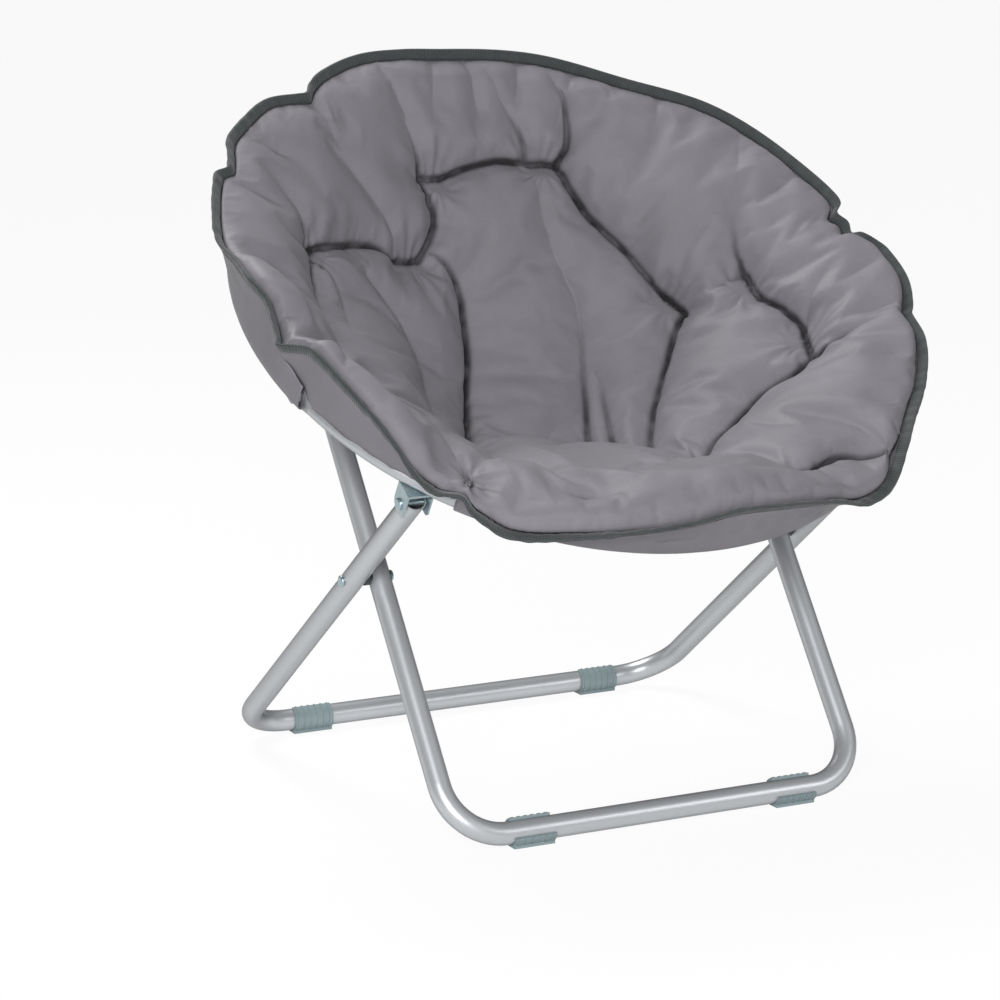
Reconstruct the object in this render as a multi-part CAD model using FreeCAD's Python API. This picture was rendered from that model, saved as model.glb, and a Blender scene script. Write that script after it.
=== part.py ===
"""Folding saucer chair: a padded round seat on a two-part tube hoop, carried by crossed leg frames.

Millimetres, +Z up, the floor at Z = 0. The sitter faces -Y, so the sitter's left is +X.
The origin lies under the middle of the seat rim.
"""
import FreeCAD, Part
import math
import os

Vector = FreeCAD.Vector

# ---- leg frames: two U-shaped tubes that cross like an X ----
LEG_TUBE_D = 25.0
LEG_TUBE_WALL = 1.2
LEG_BEND_R = 62.0
FRONT_LEG_HALF_SPAN = 250.0
FRONT_BAR_Y = -207.0
REAR_BAR_Y = 301.0
CROSS_GAP = 6.5
LEG_END_PAST_PIVOT = 7.0

# ---- clip-on feet ----
FOOT_WALL = 3.0
FOOT_LENGTH = 48.0
FOOT_SOLE_WIDTH = 20.0
FOOT_OPENING_DEG = 110.0
FRONT_FOOT_FACING_DEG = 135.0
REAR_FOOT_FACING_DEG = 45.0
FOOT_RIB_COUNT = 6
FOOT_RIB_WIDTH = 2.4
FOOT_RIB_HEIGHT = 0.8
FRONT_FOOT_INSET = 89.0
REAR_FOOT_INSET = 90.5
FOOT_FIT = 0.05

# ---- seat hoop: a round tube hinged in two, front edge low ----
HOOP_R = 371.0
HOOP_TUBE_D = 16.0
HOOP_TUBE_WALL = 1.2
HOOP_TILT_DEG = 31.7
HOOP_CENTRE_Y = 17.0
HOOP_CENTRE_Z = 525.0
FOLD_LINE_FORWARD = 92.0
HINGE_FLAT_THICKNESS = 6.2
HINGE_FLAT_WIDTH = 21.6
HINGE_FLAT_LENGTH = 12.0
HINGE_TAPER_LENGTH = 14.0
HINGE_RIVET_D = 6.0
HINGE_HEAD_D = 11.0
HINGE_HEAD_HEIGHT = 2.2
HINGE_WASHER_D = 18.0
HINGE_WASHER_THICKNESS = 1.0

# ---- brackets that join the legs to the hoop ----
BRACKET_SHEET = 2.0
BRACKET_SIDE_PLAY = 0.5
BRACKET_LENGTH = 26.0
BRACKET_PIVOT_DROP = 28.0
BRACKET_BELOW_PIVOT = 10.0
BRACKET_FRONT_CORNER_R = 4.0
BRACKET_REAR_CORNER_R = 12.0
WELD_SADDLE = 0.8

# ---- rivets, washers and fits ----
RIVET_D = 8.0
RIVET_HEAD_D = 13.0
RIVET_HEAD_HEIGHT = 2.6
HEAD_ROUNDING_SHARE = 0.75
SPACER_D = 15.0
SPACER_SADDLE = 3.0
RUNNING_FIT = 0.05
SIDE_FIT = 0.05
OPEN_PIVOT_GAP = 0.3

# ---- seat: rim circle, fabric shell and padding ----
RIM_OVERHANG = 33.5
RIM_TILT_DEG = 34.3
RIM_CENTRE_Y = -8.3
RIM_CENTRE_Z = 567.0
BINDING_WIDTH = 14.0
BINDING_THICKNESS = 6.0
BINDING_SLOPE_DEG = 46.0
SHELL_THICKNESS = 1.5
SOFT_GAP = 0.5
BOWL_INSET = 25.0
BOWL_DEPTH = 215.0
BOWL_POWER = 1.35
SEAT_PAD_THICKNESS = 42.0
SHOULDER_PAD_SHARE = 0.8
EDGE_ROLL_IN = 10.0
EDGE_ROLL_RISE = 3.0
EDGE_DIP_IN = 34.0
EDGE_DIP = 12.0
FRONT_ROLL_DEG = 200.0
FRONT_ROLL_HALF_DEG = 34.0
FRONT_ROLL_FLAT_DEG = 5.0
FRONT_ROLL_HEIGHT = 26.0
FRONT_ROLL_INSET = 36.0
FRONT_ROLL_HALF_FLAT = 10.0
FRONT_ROLL_HALF_WIDTH = 50.0
LIP_OUT_SHARE = 0.35
LIP_UP_SHARE = 1.65
SHOULDER_IN_SHARE = 1.5
SHOULDER_UP_SHARE = 0.8
BOWL_ROW_SHARES = (0.92, 0.84, 0.76, 0.68, 0.59, 0.5, 0.4, 0.3, 0.2, 0.1, 0.04)
SLEEVE_CLEARANCE = 0.3
SLEEVE_THICKNESS = 1.5
SLEEVE_NOTCH_HALF = 19.0
FRONT_SLEEVE_MARGIN = 9.0
SEAM_THICKNESS = 3.0
SEAM_GAP = 0.3

# ---- tufting: places by angle from the rear towards the sitter's left, and by share of the rim radius ----
TUFT_DEPTH = 23.0
TUFT_HALF_WIDTH = 22.0
FACE_GRID_STEP = 22.0
TACKS = {
    "top_right": (-9.0, 0.67), "top_left": (19.0, 0.71), "back_right": (-25.0, 0.515),
    "back_left": (66.0, 0.52), "side_right": (-57.0, 0.69), "side_left": (79.0, 0.66),
    "arm_left": (102.0, 0.70), "arm_right": (-104.0, 0.68),
}
# Creases by the share of the tufts' depth that they reach, and the places that they run through.
CREASES = (
    (1.0, ("top_right", "top_left")),
    (1.0, ("top_left", (45.0, 0.57), "back_left")),
    (1.0, ("top_right", (-12.0, 0.57), "back_right")),
    (1.0, ("side_right", (-42.0, 0.62), "back_right")),
    (0.5, ("back_left", "side_left")),
    (0.9, ("side_left", "arm_left")),
    (0.7, ("side_right", "arm_right")),
    (0.9, ("back_right", (-12.0, 0.44), (-12.0, 0.37), (-20.0, 0.26), (-85.0, 0.17), (-125.0, 0.35))),
    (0.9, ("back_left", (91.0, 0.36), (108.0, 0.32), (138.0, 0.33))),
    (0.5, ((24.0, 0.57), (41.0, 0.36), (71.0, 0.21), (135.0, 0.19), (165.0, 0.32))),
    (0.9, ("arm_left", (114.0, 0.57), (126.0, 0.51), (135.0, 0.48), (156.0, 0.53))),
    (0.6, ("arm_right", (-128.0, 0.59), (-148.0, 0.56))),
    (0.6, ("side_left", (62.0, 0.81))),
    (0.5, ("top_right", (-13.0, 0.82))),
    (0.8, ("top_left", (24.0, 0.79), (21.0, 0.88))),
    (0.5, ("side_right", (-53.0, 0.84))),
    (0.5, ("side_right", (-78.0, 0.60))),
    (0.5, ("arm_left", (106.0, 0.85))),
    (0.5, ("arm_right", (-110.0, 0.85))),
)

# ---- values worked out from the sizes above ----
SIDES = ((1, "left"), (-1, "right"))
X_AXIS = Vector(1, 0, 0)
LEG_R = LEG_TUBE_D / 2
HOOP_TUBE_R = HOOP_TUBE_D / 2
BAR_Z = LEG_R + FOOT_WALL
REAR_LEG_HALF_SPAN = FRONT_LEG_HALF_SPAN + LEG_TUBE_D + CROSS_GAP
FRONT_FOOT_X = FRONT_LEG_HALF_SPAN - FRONT_FOOT_INSET
REAR_FOOT_X = REAR_LEG_HALF_SPAN - REAR_FOOT_INSET
RIM_R = HOOP_R + RIM_OVERHANG
BOWL_R = HOOP_R - BOWL_INSET
FRONT_ROLL_R = HOOP_R - FRONT_ROLL_INSET
HINGE_CLEAR = HINGE_FLAT_WIDTH / 2 + SOFT_GAP
LIP_OUT = LIP_OUT_SHARE * HINGE_CLEAR
LIP_UP = LIP_UP_SHARE * HINGE_CLEAR
SHOULDER_IN = SHOULDER_IN_SHARE * HINGE_CLEAR
SHOULDER_UP = SHOULDER_UP_SHARE * HINGE_CLEAR
SAME_PLACE = 0.01


def plane_axes(tilt_deg):
    """Unit vectors of a plane that rises to the rear: up the slope, and square to it."""
    tilt = math.radians(tilt_deg)
    return Vector(0, math.cos(tilt), math.sin(tilt)), Vector(0, -math.sin(tilt), math.cos(tilt))


HOOP_ALONG, HOOP_NORMAL = plane_axes(HOOP_TILT_DEG)
RIM_ALONG, RIM_NORMAL = plane_axes(RIM_TILT_DEG)
HOOP_CENTRE = Vector(0, HOOP_CENTRE_Y, HOOP_CENTRE_Z)
RIM_CENTRE = Vector(0, RIM_CENTRE_Y, RIM_CENTRE_Z)


def on_hoop_plane(x, along, above=0.0):
    """A point given by its side offset, its place up the hoop's slope and its height above it."""
    return HOOP_CENTRE + X_AXIS * x + HOOP_ALONG * along + HOOP_NORMAL * above


def hoop_half_chord(offset):
    """Half the chord of the hoop circle at an offset from its centre."""
    return math.sqrt(HOOP_R ** 2 - offset ** 2)


REAR_PIVOT_ALONG = hoop_half_chord(FRONT_LEG_HALF_SPAN)
FRONT_PIVOT_ALONG = -hoop_half_chord(REAR_LEG_HALF_SPAN)
REAR_PIVOT = on_hoop_plane(0, REAR_PIVOT_ALONG, -BRACKET_PIVOT_DROP)
FRONT_PIVOT = on_hoop_plane(0, FRONT_PIVOT_ALONG, -BRACKET_PIVOT_DROP)
HINGE_PIVOT = on_hoop_plane(0, -FOLD_LINE_FORWARD)
HINGE_X = hoop_half_chord(FOLD_LINE_FORWARD)
FRONT_BAR = Vector(0, FRONT_BAR_Y, BAR_Z)
REAR_BAR = Vector(0, REAR_BAR_Y, BAR_Z)
FRONT_LEG_DIRECTION = (REAR_PIVOT - FRONT_BAR).normalize()
REAR_LEG_DIRECTION = (FRONT_PIVOT - REAR_BAR).normalize()


def crossing_point():
    """The point in the YZ plane where the two leg frames cross."""
    a = FRONT_LEG_DIRECTION
    b = REAR_LEG_DIRECTION
    gap = REAR_BAR - FRONT_BAR
    reach = (gap.y * b.z - gap.z * b.y) / (a.y * b.z - a.z * b.y)
    return FRONT_BAR + a * reach


CROSSING = crossing_point()


# ---- general shapes ----
def at_x(point, x):
    return Vector(x, point.y, point.z)


def rod_x(point, x_from, x_to, diameter):
    """A round rod along X between two X places."""
    low = min(x_from, x_to)
    return Part.makeCylinder(diameter / 2, abs(x_to - x_from), at_x(point, low), X_AXIS)


def button_head(point, x_seat, outward, diameter, height):
    """A domed rivet head that sits at x_seat and stands out along +X or -X."""
    head = Part.makeCylinder(diameter / 2, height, at_x(point, x_seat), X_AXIS * outward)
    rim = [edge for edge in head.Edges if abs(edge.CenterOfMass.x - x_seat - outward * height) < SAME_PLACE]
    return head.makeFillet(height * HEAD_ROUNDING_SHARE, rim)


def oriented_box(centre, half_x, half_along, half_above):
    """A box whose sides follow X, the hoop's slope and the hoop's normal."""
    corners = [(-half_along, -half_above), (half_along, -half_above),
               (half_along, half_above), (-half_along, half_above)]
    points = [centre - X_AXIS * half_x + HOOP_ALONG * a + HOOP_NORMAL * n for a, n in corners]
    face = Part.Face(Part.makePolygon(points + points[:1]))
    return face.extrude(X_AXIS * (2 * half_x))


def rounded_path(points, radius):
    """Straight runs through the points, joined by tangent arcs of one radius."""
    edges = []
    start = points[0]
    for before, corner, after in zip(points, points[1:], points[2:]):
        back = (before - corner).normalize()
        onward = (after - corner).normalize()
        half_angle = back.getAngle(onward) / 2
        setback = radius / math.tan(half_angle)
        middle = (back + onward).normalize() * (radius / math.sin(half_angle) - radius)
        edges.append(Part.LineSegment(start, corner + back * setback).toShape())
        edges.append(Part.Arc(corner + back * setback, corner + middle, corner + onward * setback).toShape())
        start = corner + onward * setback
    edges.append(Part.LineSegment(start, points[-1]).toShape())
    return Part.Wire(edges)


def swept_round(path, direction, radius):
    """A solid of round section along a path that starts in the given direction."""
    start = path.Vertexes[0].Point
    section = Part.Wire([Part.Circle(start, direction, radius).toShape()])
    return path.makePipeShell([section], True, False)


# ---- leg frames ----
def leg_frame(bar, direction, half_span, pivot):
    """One U-shaped tube: upright, cross bar on the floor side, upright."""
    reach = (pivot - bar).Length + LEG_END_PAST_PIVOT
    top = bar + direction * reach
    points = [at_x(top, half_span), at_x(bar, half_span), at_x(bar, -half_span), at_x(top, -half_span)]
    path = rounded_path(points, LEG_BEND_R)
    outside = swept_round(path, direction, LEG_R)
    inside = swept_round(path, direction, LEG_R - LEG_TUBE_WALL)
    tube = outside.cut(inside)
    span = half_span + LEG_TUBE_D
    tube = tube.cut(rod_x(pivot, -span, span, RIVET_D + 2 * RUNNING_FIT))
    return tube.cut(rod_x(CROSSING, -span, span, RIVET_D))


def foot(bar, centre_x, opening_deg):
    """A C-shaped clip with a flat sole and raised ribs; it opens towards opening_deg in the YZ plane."""
    outer_r = LEG_R + FOOT_WALL
    left = centre_x - FOOT_LENGTH / 2
    shape = rod_x(bar, left, left + FOOT_LENGTH, 2 * outer_r)
    sole = Part.makeBox(FOOT_LENGTH, FOOT_SOLE_WIDTH, BAR_Z, Vector(left, bar.y - FOOT_SOLE_WIDTH / 2, 0))
    shape = shape.fuse(sole)
    pitch = FOOT_LENGTH / FOOT_RIB_COUNT
    for index in range(FOOT_RIB_COUNT):
        rib_x = left + pitch * (index + 0.5) - FOOT_RIB_WIDTH / 2
        rib = rod_x(bar, rib_x, rib_x + FOOT_RIB_WIDTH, 2 * (outer_r + FOOT_RIB_HEIGHT))
        floor_cut = Part.makeBox(FOOT_LENGTH, 4 * outer_r, BAR_Z / 2, Vector(left, bar.y - 2 * outer_r, -BAR_Z / 4))
        shape = shape.fuse(rib.cut(floor_cut))
    shape = shape.cut(rod_x(bar, left, left + FOOT_LENGTH, LEG_TUBE_D + 2 * FOOT_FIT))
    mouth = [bar]
    for angle_deg in (opening_deg - FOOT_OPENING_DEG / 2, opening_deg, opening_deg + FOOT_OPENING_DEG / 2):
        angle = math.radians(angle_deg)
        mouth.append(bar + Vector(0, math.cos(angle), math.sin(angle)) * (3 * outer_r))
    mouth = [at_x(point, left) for point in mouth]
    wedge = Part.Face(Part.makePolygon(mouth + mouth[:1])).extrude(X_AXIS * FOOT_LENGTH)
    return shape.cut(wedge).removeSplitter()


# ---- hoop ----
def hoop_angle(along):
    """Angle round the hoop from its rear, in degrees, at a place up the slope."""
    return math.degrees(math.acos(along / HOOP_R))


def hoop_ring(from_deg, to_deg, outer_r, inner_r):
    """A ring-shaped tube along the hoop circle between two angles from the rear, turning to the left."""
    turn = math.radians(from_deg)
    outward = X_AXIS * math.sin(turn) + HOOP_ALONG * math.cos(turn)
    tangent = X_AXIS * math.cos(turn) - HOOP_ALONG * math.sin(turn)
    centre = HOOP_CENTRE + outward * HOOP_R
    rods = []
    for radius in (outer_r, inner_r):
        if radius > 0:
            section = Part.Face(Part.Wire([Part.Circle(centre, tangent, radius).toShape()]))
            rods.append(section.revolve(HOOP_CENTRE, HOOP_NORMAL, from_deg - to_deg))
    return rods[0].cut(rods[1]) if inner_r > 0 else rods[0]


def hoop_rod(outer_r):
    """The whole hoop circle as a solid rod, for cutting seats."""
    return hoop_ring(0, 180, outer_r, 0).fuse(hoop_ring(180, 360, outer_r, 0))


def hinge_end(side, toward_rear):
    """The flattened tube end at the fold line, with its round eye."""
    lap = (HINGE_FLAT_THICKNESS + HINGE_WASHER_THICKNESS) / 2 + SIDE_FIT
    flat_x = side * (HINGE_X + toward_rear * lap)
    half_thick = HINGE_FLAT_THICKNESS / 2
    half_wide = HINGE_FLAT_WIDTH / 2
    tube_along = -FOLD_LINE_FORWARD + toward_rear * (HINGE_FLAT_LENGTH + HINGE_TAPER_LENGTH)
    flat_along = -FOLD_LINE_FORWARD + toward_rear * HINGE_FLAT_LENGTH
    tube_x = side * hoop_half_chord(tube_along)
    outward = (on_hoop_plane(tube_x, tube_along) - HOOP_CENTRE).normalize()
    tube_centre = on_hoop_plane(tube_x, tube_along)
    flat_centre = on_hoop_plane(flat_x, flat_along)
    round_edges = []
    flat_edges = []
    for quarter in range(4):
        angles = [math.radians(45 + 90 * quarter + step) for step in (0, 45, 90)]
        arc = [tube_centre + (outward * math.cos(a) + HOOP_NORMAL * math.sin(a)) * HOOP_TUBE_R for a in angles]
        round_edges.append(Part.Arc(*arc).toShape())
        signs = [(math.copysign(1, math.cos(a)), math.copysign(1, math.sin(a))) for a in angles[::2]]
        ends = [flat_centre + X_AXIS * (side * c * half_thick) + HOOP_NORMAL * (s * half_wide) for c, s in signs]
        flat_edges.append(Part.LineSegment(*ends).toShape())
    taper = Part.makeLoft([Part.Wire(round_edges), Part.Wire(flat_edges)], True, True)
    eye_centre = on_hoop_plane(flat_x, -FOLD_LINE_FORWARD)
    plate_centre = (flat_centre + eye_centre) * 0.5
    plate = oriented_box(plate_centre, half_thick, HINGE_FLAT_LENGTH / 2, half_wide)
    eye = rod_x(eye_centre, flat_x - half_thick, flat_x + half_thick, HINGE_FLAT_WIDTH)
    play = 0 if toward_rear > 0 else 2 * RUNNING_FIT
    bore = rod_x(eye_centre, flat_x - LEG_TUBE_D, flat_x + LEG_TUBE_D, HINGE_RIVET_D + play)
    return taper.fuse([plate, eye]).cut(bore)


def hoop_part(toward_rear):
    """The rear or the front part of the hoop, with a flattened eye at each end."""
    end_along = -FOLD_LINE_FORWARD + toward_rear * (HINGE_FLAT_LENGTH + HINGE_TAPER_LENGTH)
    reach = hoop_angle(end_along)
    inner_r = HOOP_TUBE_R - HOOP_TUBE_WALL
    if toward_rear > 0:
        tube = hoop_ring(-reach, reach, HOOP_TUBE_R, inner_r)
    else:
        tube = hoop_ring(reach, 360 - reach, HOOP_TUBE_R, inner_r)
    ends = [hinge_end(side, toward_rear) for side, _ in SIDES]
    return tube.fuse(ends).removeSplitter()


def ring_hinge_rivet(side):
    """The rivet that pins the two flattened hoop ends together."""
    outer_seat = HINGE_WASHER_THICKNESS / 2 + SIDE_FIT + HINGE_FLAT_THICKNESS
    x_out = side * (HINGE_X + outer_seat)
    x_in = side * (HINGE_X - outer_seat - SIDE_FIT)
    shank = rod_x(HINGE_PIVOT, x_in, x_out, HINGE_RIVET_D)
    outer = button_head(HINGE_PIVOT, x_out, side, HINGE_HEAD_D, HINGE_HEAD_HEIGHT)
    inner = button_head(HINGE_PIVOT, x_in, -side, HINGE_HEAD_D, HINGE_HEAD_HEIGHT)
    return shank.fuse([outer, inner]).removeSplitter()


def ring_hinge_washer(side):
    """The thin washer between the two flattened hoop ends, against the rear one."""
    half = HINGE_WASHER_THICKNESS / 2
    centre = side * (HINGE_X + SIDE_FIT)
    disc = rod_x(HINGE_PIVOT, centre - half, centre + half, HINGE_WASHER_D)
    return disc.cut(rod_x(HINGE_PIVOT, centre - half, centre + half, HINGE_RIVET_D))


# ---- brackets and rivets ----
def bracket(side, pivot, half_span):
    """An upside-down U of sheet under the hoop: a web with a weld saddle, and two ears."""
    inner_half = LEG_R + BRACKET_SIDE_PLAY
    outer_half = inner_half + BRACKET_SHEET
    web_top = BRACKET_PIVOT_DROP - HOOP_TUBE_R + WELD_SADDLE
    bottom = -BRACKET_BELOW_PIVOT
    block_centre = at_x(pivot, side * half_span) + HOOP_NORMAL * ((web_top + bottom) / 2)
    block = oriented_box(block_centre, outer_half, BRACKET_LENGTH / 2, (web_top - bottom) / 2)
    rounded = round_ear_corners(block, pivot, bottom)
    room_top = BRACKET_PIVOT_DROP - HOOP_TUBE_R - BRACKET_SHEET
    room_centre = at_x(pivot, side * half_span) + HOOP_NORMAL * ((room_top + 2 * bottom) / 2)
    room = oriented_box(room_centre, inner_half, BRACKET_LENGTH, (room_top - 2 * bottom) / 2)
    shape = rounded.cut(room).cut(hoop_rod(HOOP_TUBE_R))
    bore = rod_x(pivot, side * (half_span - outer_half), side * (half_span + outer_half), RIVET_D)
    return shape.cut(bore)


def round_ear_corners(block, pivot, bottom):
    """Round the lower front and the lower rear corner of both ears."""
    for end, radius in ((-1, BRACKET_FRONT_CORNER_R), (1, BRACKET_REAR_CORNER_R)):
        corner = pivot + HOOP_ALONG * (end * BRACKET_LENGTH / 2) + HOOP_NORMAL * bottom
        edges = [edge for edge in block.Edges
                 if (at_x(edge.CenterOfMass, 0) - corner).Length < SAME_PLACE]
        block = block.makeFillet(radius, edges)
    return block


def bracket_rivet(side, pivot, half_span):
    """The rivet on which a leg end turns in its bracket."""
    reach = LEG_R + BRACKET_SIDE_PLAY + BRACKET_SHEET
    x_in = side * (half_span - reach)
    x_out = side * (half_span + reach)
    shank = rod_x(pivot, x_in, x_out, RIVET_D)
    outer = button_head(pivot, x_out, side, RIVET_HEAD_D, RIVET_HEAD_HEIGHT)
    inner = button_head(pivot, x_in, -side, RIVET_HEAD_D, RIVET_HEAD_HEIGHT)
    return shank.fuse([outer, inner]).removeSplitter()


def cross_rivet(side):
    """The inner half of the rivet at the leg crossing, fixed in the front-foot frame."""
    x_in = side * (FRONT_LEG_HALF_SPAN - LEG_R)
    x_end = side * (REAR_LEG_HALF_SPAN - LEG_R - OPEN_PIVOT_GAP)
    shank = rod_x(CROSSING, x_in, x_end, RIVET_D)
    return shank.fuse(button_head(CROSSING, x_in, -side, RIVET_HEAD_D, RIVET_HEAD_HEIGHT))


def cross_spacer(side):
    """The spacer that holds the two leg frames apart where they cross."""
    x_seat = side * (FRONT_LEG_HALF_SPAN + LEG_R - SPACER_SADDLE)
    x_end = side * (REAR_LEG_HALF_SPAN - LEG_R - OPEN_PIVOT_GAP)
    ring = rod_x(CROSSING, x_seat, x_end, SPACER_D).cut(rod_x(CROSSING, x_seat, x_end, RIVET_D))
    start = at_x(CROSSING - FRONT_LEG_DIRECTION * SPACER_D, side * FRONT_LEG_HALF_SPAN)
    upright = Part.makeCylinder(LEG_R, 2 * SPACER_D, start, FRONT_LEG_DIRECTION)
    return ring.cut(upright)


def cross_head(side):
    """The outer half of the rivet at the leg crossing, fixed in the rear-foot frame."""
    x_in = side * (REAR_LEG_HALF_SPAN - LEG_R)
    x_out = side * (REAR_LEG_HALF_SPAN + LEG_R)
    shank = rod_x(CROSSING, x_in, x_out, RIVET_D)
    return shank.fuse(button_head(CROSSING, x_out, side, RIVET_HEAD_D, RIVET_HEAD_HEIGHT))


# ---- seat ----
def bowl_height(radius):
    """Height of the bowl's underside above the hoop plane, at a radius from its middle."""
    return -BOWL_DEPTH * (1 - (radius / BOWL_R) ** BOWL_POWER)


def seat_profile():
    """Underside of the seat: (plane name, radius, height) from the rim down to the middle."""
    slope = math.radians(BINDING_SLOPE_DEG)
    edge_r = RIM_R - math.cos(slope) * (BINDING_WIDTH + SOFT_GAP)
    edge_h = -math.sin(slope) * (BINDING_WIDTH + SOFT_GAP)
    rows = [("rim", edge_r, edge_h),
            ("hoop", HOOP_R + LIP_OUT, LIP_UP),
            ("hoop", HOOP_R - SHOULDER_IN, SHOULDER_UP),
            ("hoop", BOWL_R, 0.0)]
    for share in BOWL_ROW_SHARES:
        rows.append(("hoop", BOWL_R * share, bowl_height(BOWL_R * share)))
    return rows


def offset_profile(rows, distances):
    """Move the underside inwards, square to itself, by a distance for each row."""
    moved = []
    for index, (plane, radius, height) in enumerate(rows):
        first = rows[max(index - 1, 0)]
        last = rows[min(index + 1, len(rows) - 1)]
        if index == 0:
            slope = math.radians(BINDING_SLOPE_DEG)
            run, rise = -math.cos(slope), -math.sin(slope)
        elif index == 1:
            run, rise = last[1] - radius, last[2] - height
        else:
            run, rise = last[1] - first[1], last[2] - first[2]
        length = math.hypot(run, rise)
        inward_r, inward_h = rise / length, -run / length
        moved.append((plane, radius + inward_r * distances[index], height + inward_h * distances[index]))
    return moved


def profile_loft(rows, cap_height):
    """A closed solid through level circles of the rows, carried on upwards by cap_height."""
    wires = []
    for index, (plane, radius, height) in enumerate(rows):
        centre, normal = (RIM_CENTRE, RIM_NORMAL) if plane == "rim" else (HOOP_CENTRE, HOOP_NORMAL)
        if index == 0 and cap_height:
            slope = math.tan(math.radians(BINDING_SLOPE_DEG))
            lifted = Part.Circle(centre + normal * (height + cap_height), normal, radius + cap_height / slope)
            wires.append(Part.Wire([lifted.toShape()]))
        circle = Part.Circle(centre + normal * height, normal, radius)
        wires.append(Part.Wire([circle.toShape()]))
    return Part.makeLoft(wires, True, True)


def rim_station(run, offset):
    """A place by the rim, by how far down the binding it lies and how far off it, in the rim's plane."""
    slope = math.radians(BINDING_SLOPE_DEG)
    radius = RIM_R - math.cos(slope) * run - math.sin(slope) * offset
    return "rim", radius, math.cos(slope) * offset - math.sin(slope) * run


def rim_level(turn):
    """Height of the rim's plane above the hoop's plane, at an angle from the rear."""
    lift = HOOP_NORMAL.dot(RIM_CENTRE - HOOP_CENTRE)
    return lift + RIM_R * math.cos(turn) * HOOP_NORMAL.dot(RIM_ALONG)


def flat_place(place):
    """Sideways and up-slope offsets of a tack, or of a place by angle and share, from the hoop's middle."""
    degrees, share = TACKS[place] if isinstance(place, str) else place
    turn = math.radians(degrees)
    return RIM_R * share * math.sin(turn), RIM_R * share * math.cos(turn)


def tuft_depth(x, along):
    """How far the seat is pulled in at a place, seen square to the hoop, by the crease that is felt most there."""
    deepest = 0.0
    for share_of_depth, crease in CREASES:
        places = [flat_place(place) for place in crease]
        for (x0, y0), (x1, y1) in zip(places, places[1:]):
            run_x, run_y = x1 - x0, y1 - y0
            share = ((x - x0) * run_x + (along - y0) * run_y) / (run_x ** 2 + run_y ** 2)
            share = min(max(share, 0.0), 1.0)
            away = math.hypot(x - x0 - share * run_x, along - y0 - share * run_y)
            deepest = max(deepest, share_of_depth * TUFT_DEPTH * math.exp(-(away / TUFT_HALF_WIDTH) ** 2))
    return deepest


def fade(away, flat, reach):
    """1 up to the flat distance, 0 from the reach on, and a soft slope between."""
    share = min(max((away - flat) / (reach - flat), 0.0), 1.0)
    return 0.5 + 0.5 * math.cos(math.pi * share)


def front_roll(turn, radius):
    """How much the front of the seat is raised, as a soft roll."""
    degrees_off = abs((math.degrees(turn) - FRONT_ROLL_DEG + 180) % 360 - 180)
    off_crest = abs(radius - FRONT_ROLL_R)
    return (FRONT_ROLL_HEIGHT * fade(degrees_off, FRONT_ROLL_FLAT_DEG, FRONT_ROLL_HALF_DEG)
            * fade(off_crest, FRONT_ROLL_HALF_FLAT, FRONT_ROLL_HALF_WIDTH))


def smooth_height(turn, radius, bowl_rows):
    """Height of the untufted face above the hoop's plane, from the rim's edge down the rows of the bowl."""
    _, edge_r, edge_h = rim_station(BINDING_WIDTH / 2, BINDING_THICKNESS + SOFT_GAP)
    edge_h += rim_level(turn)
    edge_roll = (edge_r - EDGE_ROLL_IN, edge_h + EDGE_ROLL_RISE)
    edge_dip = (edge_r - EDGE_DIP_IN, edge_h - EDGE_DIP)
    rows = [(edge_r, edge_h), edge_roll, edge_dip] + bowl_rows
    for (outer_r, outer_h), (inner_r, inner_h) in zip(rows, rows[1:]):
        if inner_r <= radius < outer_r:
            return inner_h + (outer_h - inner_h) * (radius - inner_r) / (outer_r - inner_r)
    return edge_h if radius >= edge_r else rows[-1][1]


def sitting_height(x, along, bowl_rows):
    """Height of the sitting face above the hoop's plane: the smooth face, the front roll and the tufts."""
    radius = math.hypot(x, along)
    turn = math.atan2(x, along)
    return smooth_height(turn, radius, bowl_rows) + front_roll(turn, radius) - tuft_depth(x, along)


def below_sitting_face(bowl_rows):
    """A block whose upper side is the tufted sitting face, as one smooth surface."""
    count = math.ceil(RIM_R / FACE_GRID_STEP) + 1
    places = [step * FACE_GRID_STEP for step in range(-count, count + 1)]
    grid = [[on_hoop_plane(x, along, sitting_height(x, along, bowl_rows)) for along in places] for x in places]
    surface = Part.BSplineSurface()
    surface.interpolate(grid)
    return surface.toShape().extrude(HOOP_NORMAL * -2 * BOWL_DEPTH)


def seat_layers():
    """The fabric shell under the seat, and the tufted padding in it."""
    rows = seat_profile()
    count = len(rows)
    cap = 2 * BINDING_WIDTH
    shell = profile_loft(rows, 0).cut(profile_loft(offset_profile(rows, [SHELL_THICKNESS] * count), cap))
    start = SHELL_THICKNESS + SOFT_GAP
    off_binding = BINDING_THICKNESS + SOFT_GAP
    collar = [rim_station(-3 * BINDING_WIDTH, off_binding), rim_station(BINDING_WIDTH + SOFT_GAP, off_binding)]
    block = profile_loft(collar + offset_profile(rows, [start] * count), 0)
    depths = [start, start, start + SHOULDER_PAD_SHARE * SEAT_PAD_THICKNESS]
    depths += [start + SEAT_PAD_THICKNESS] * (count - len(depths))
    bowl_rows = [(radius, height) for _, radius, height in offset_profile(rows, depths)[2:]]
    return shell, block.common(below_sitting_face(bowl_rows))


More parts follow.
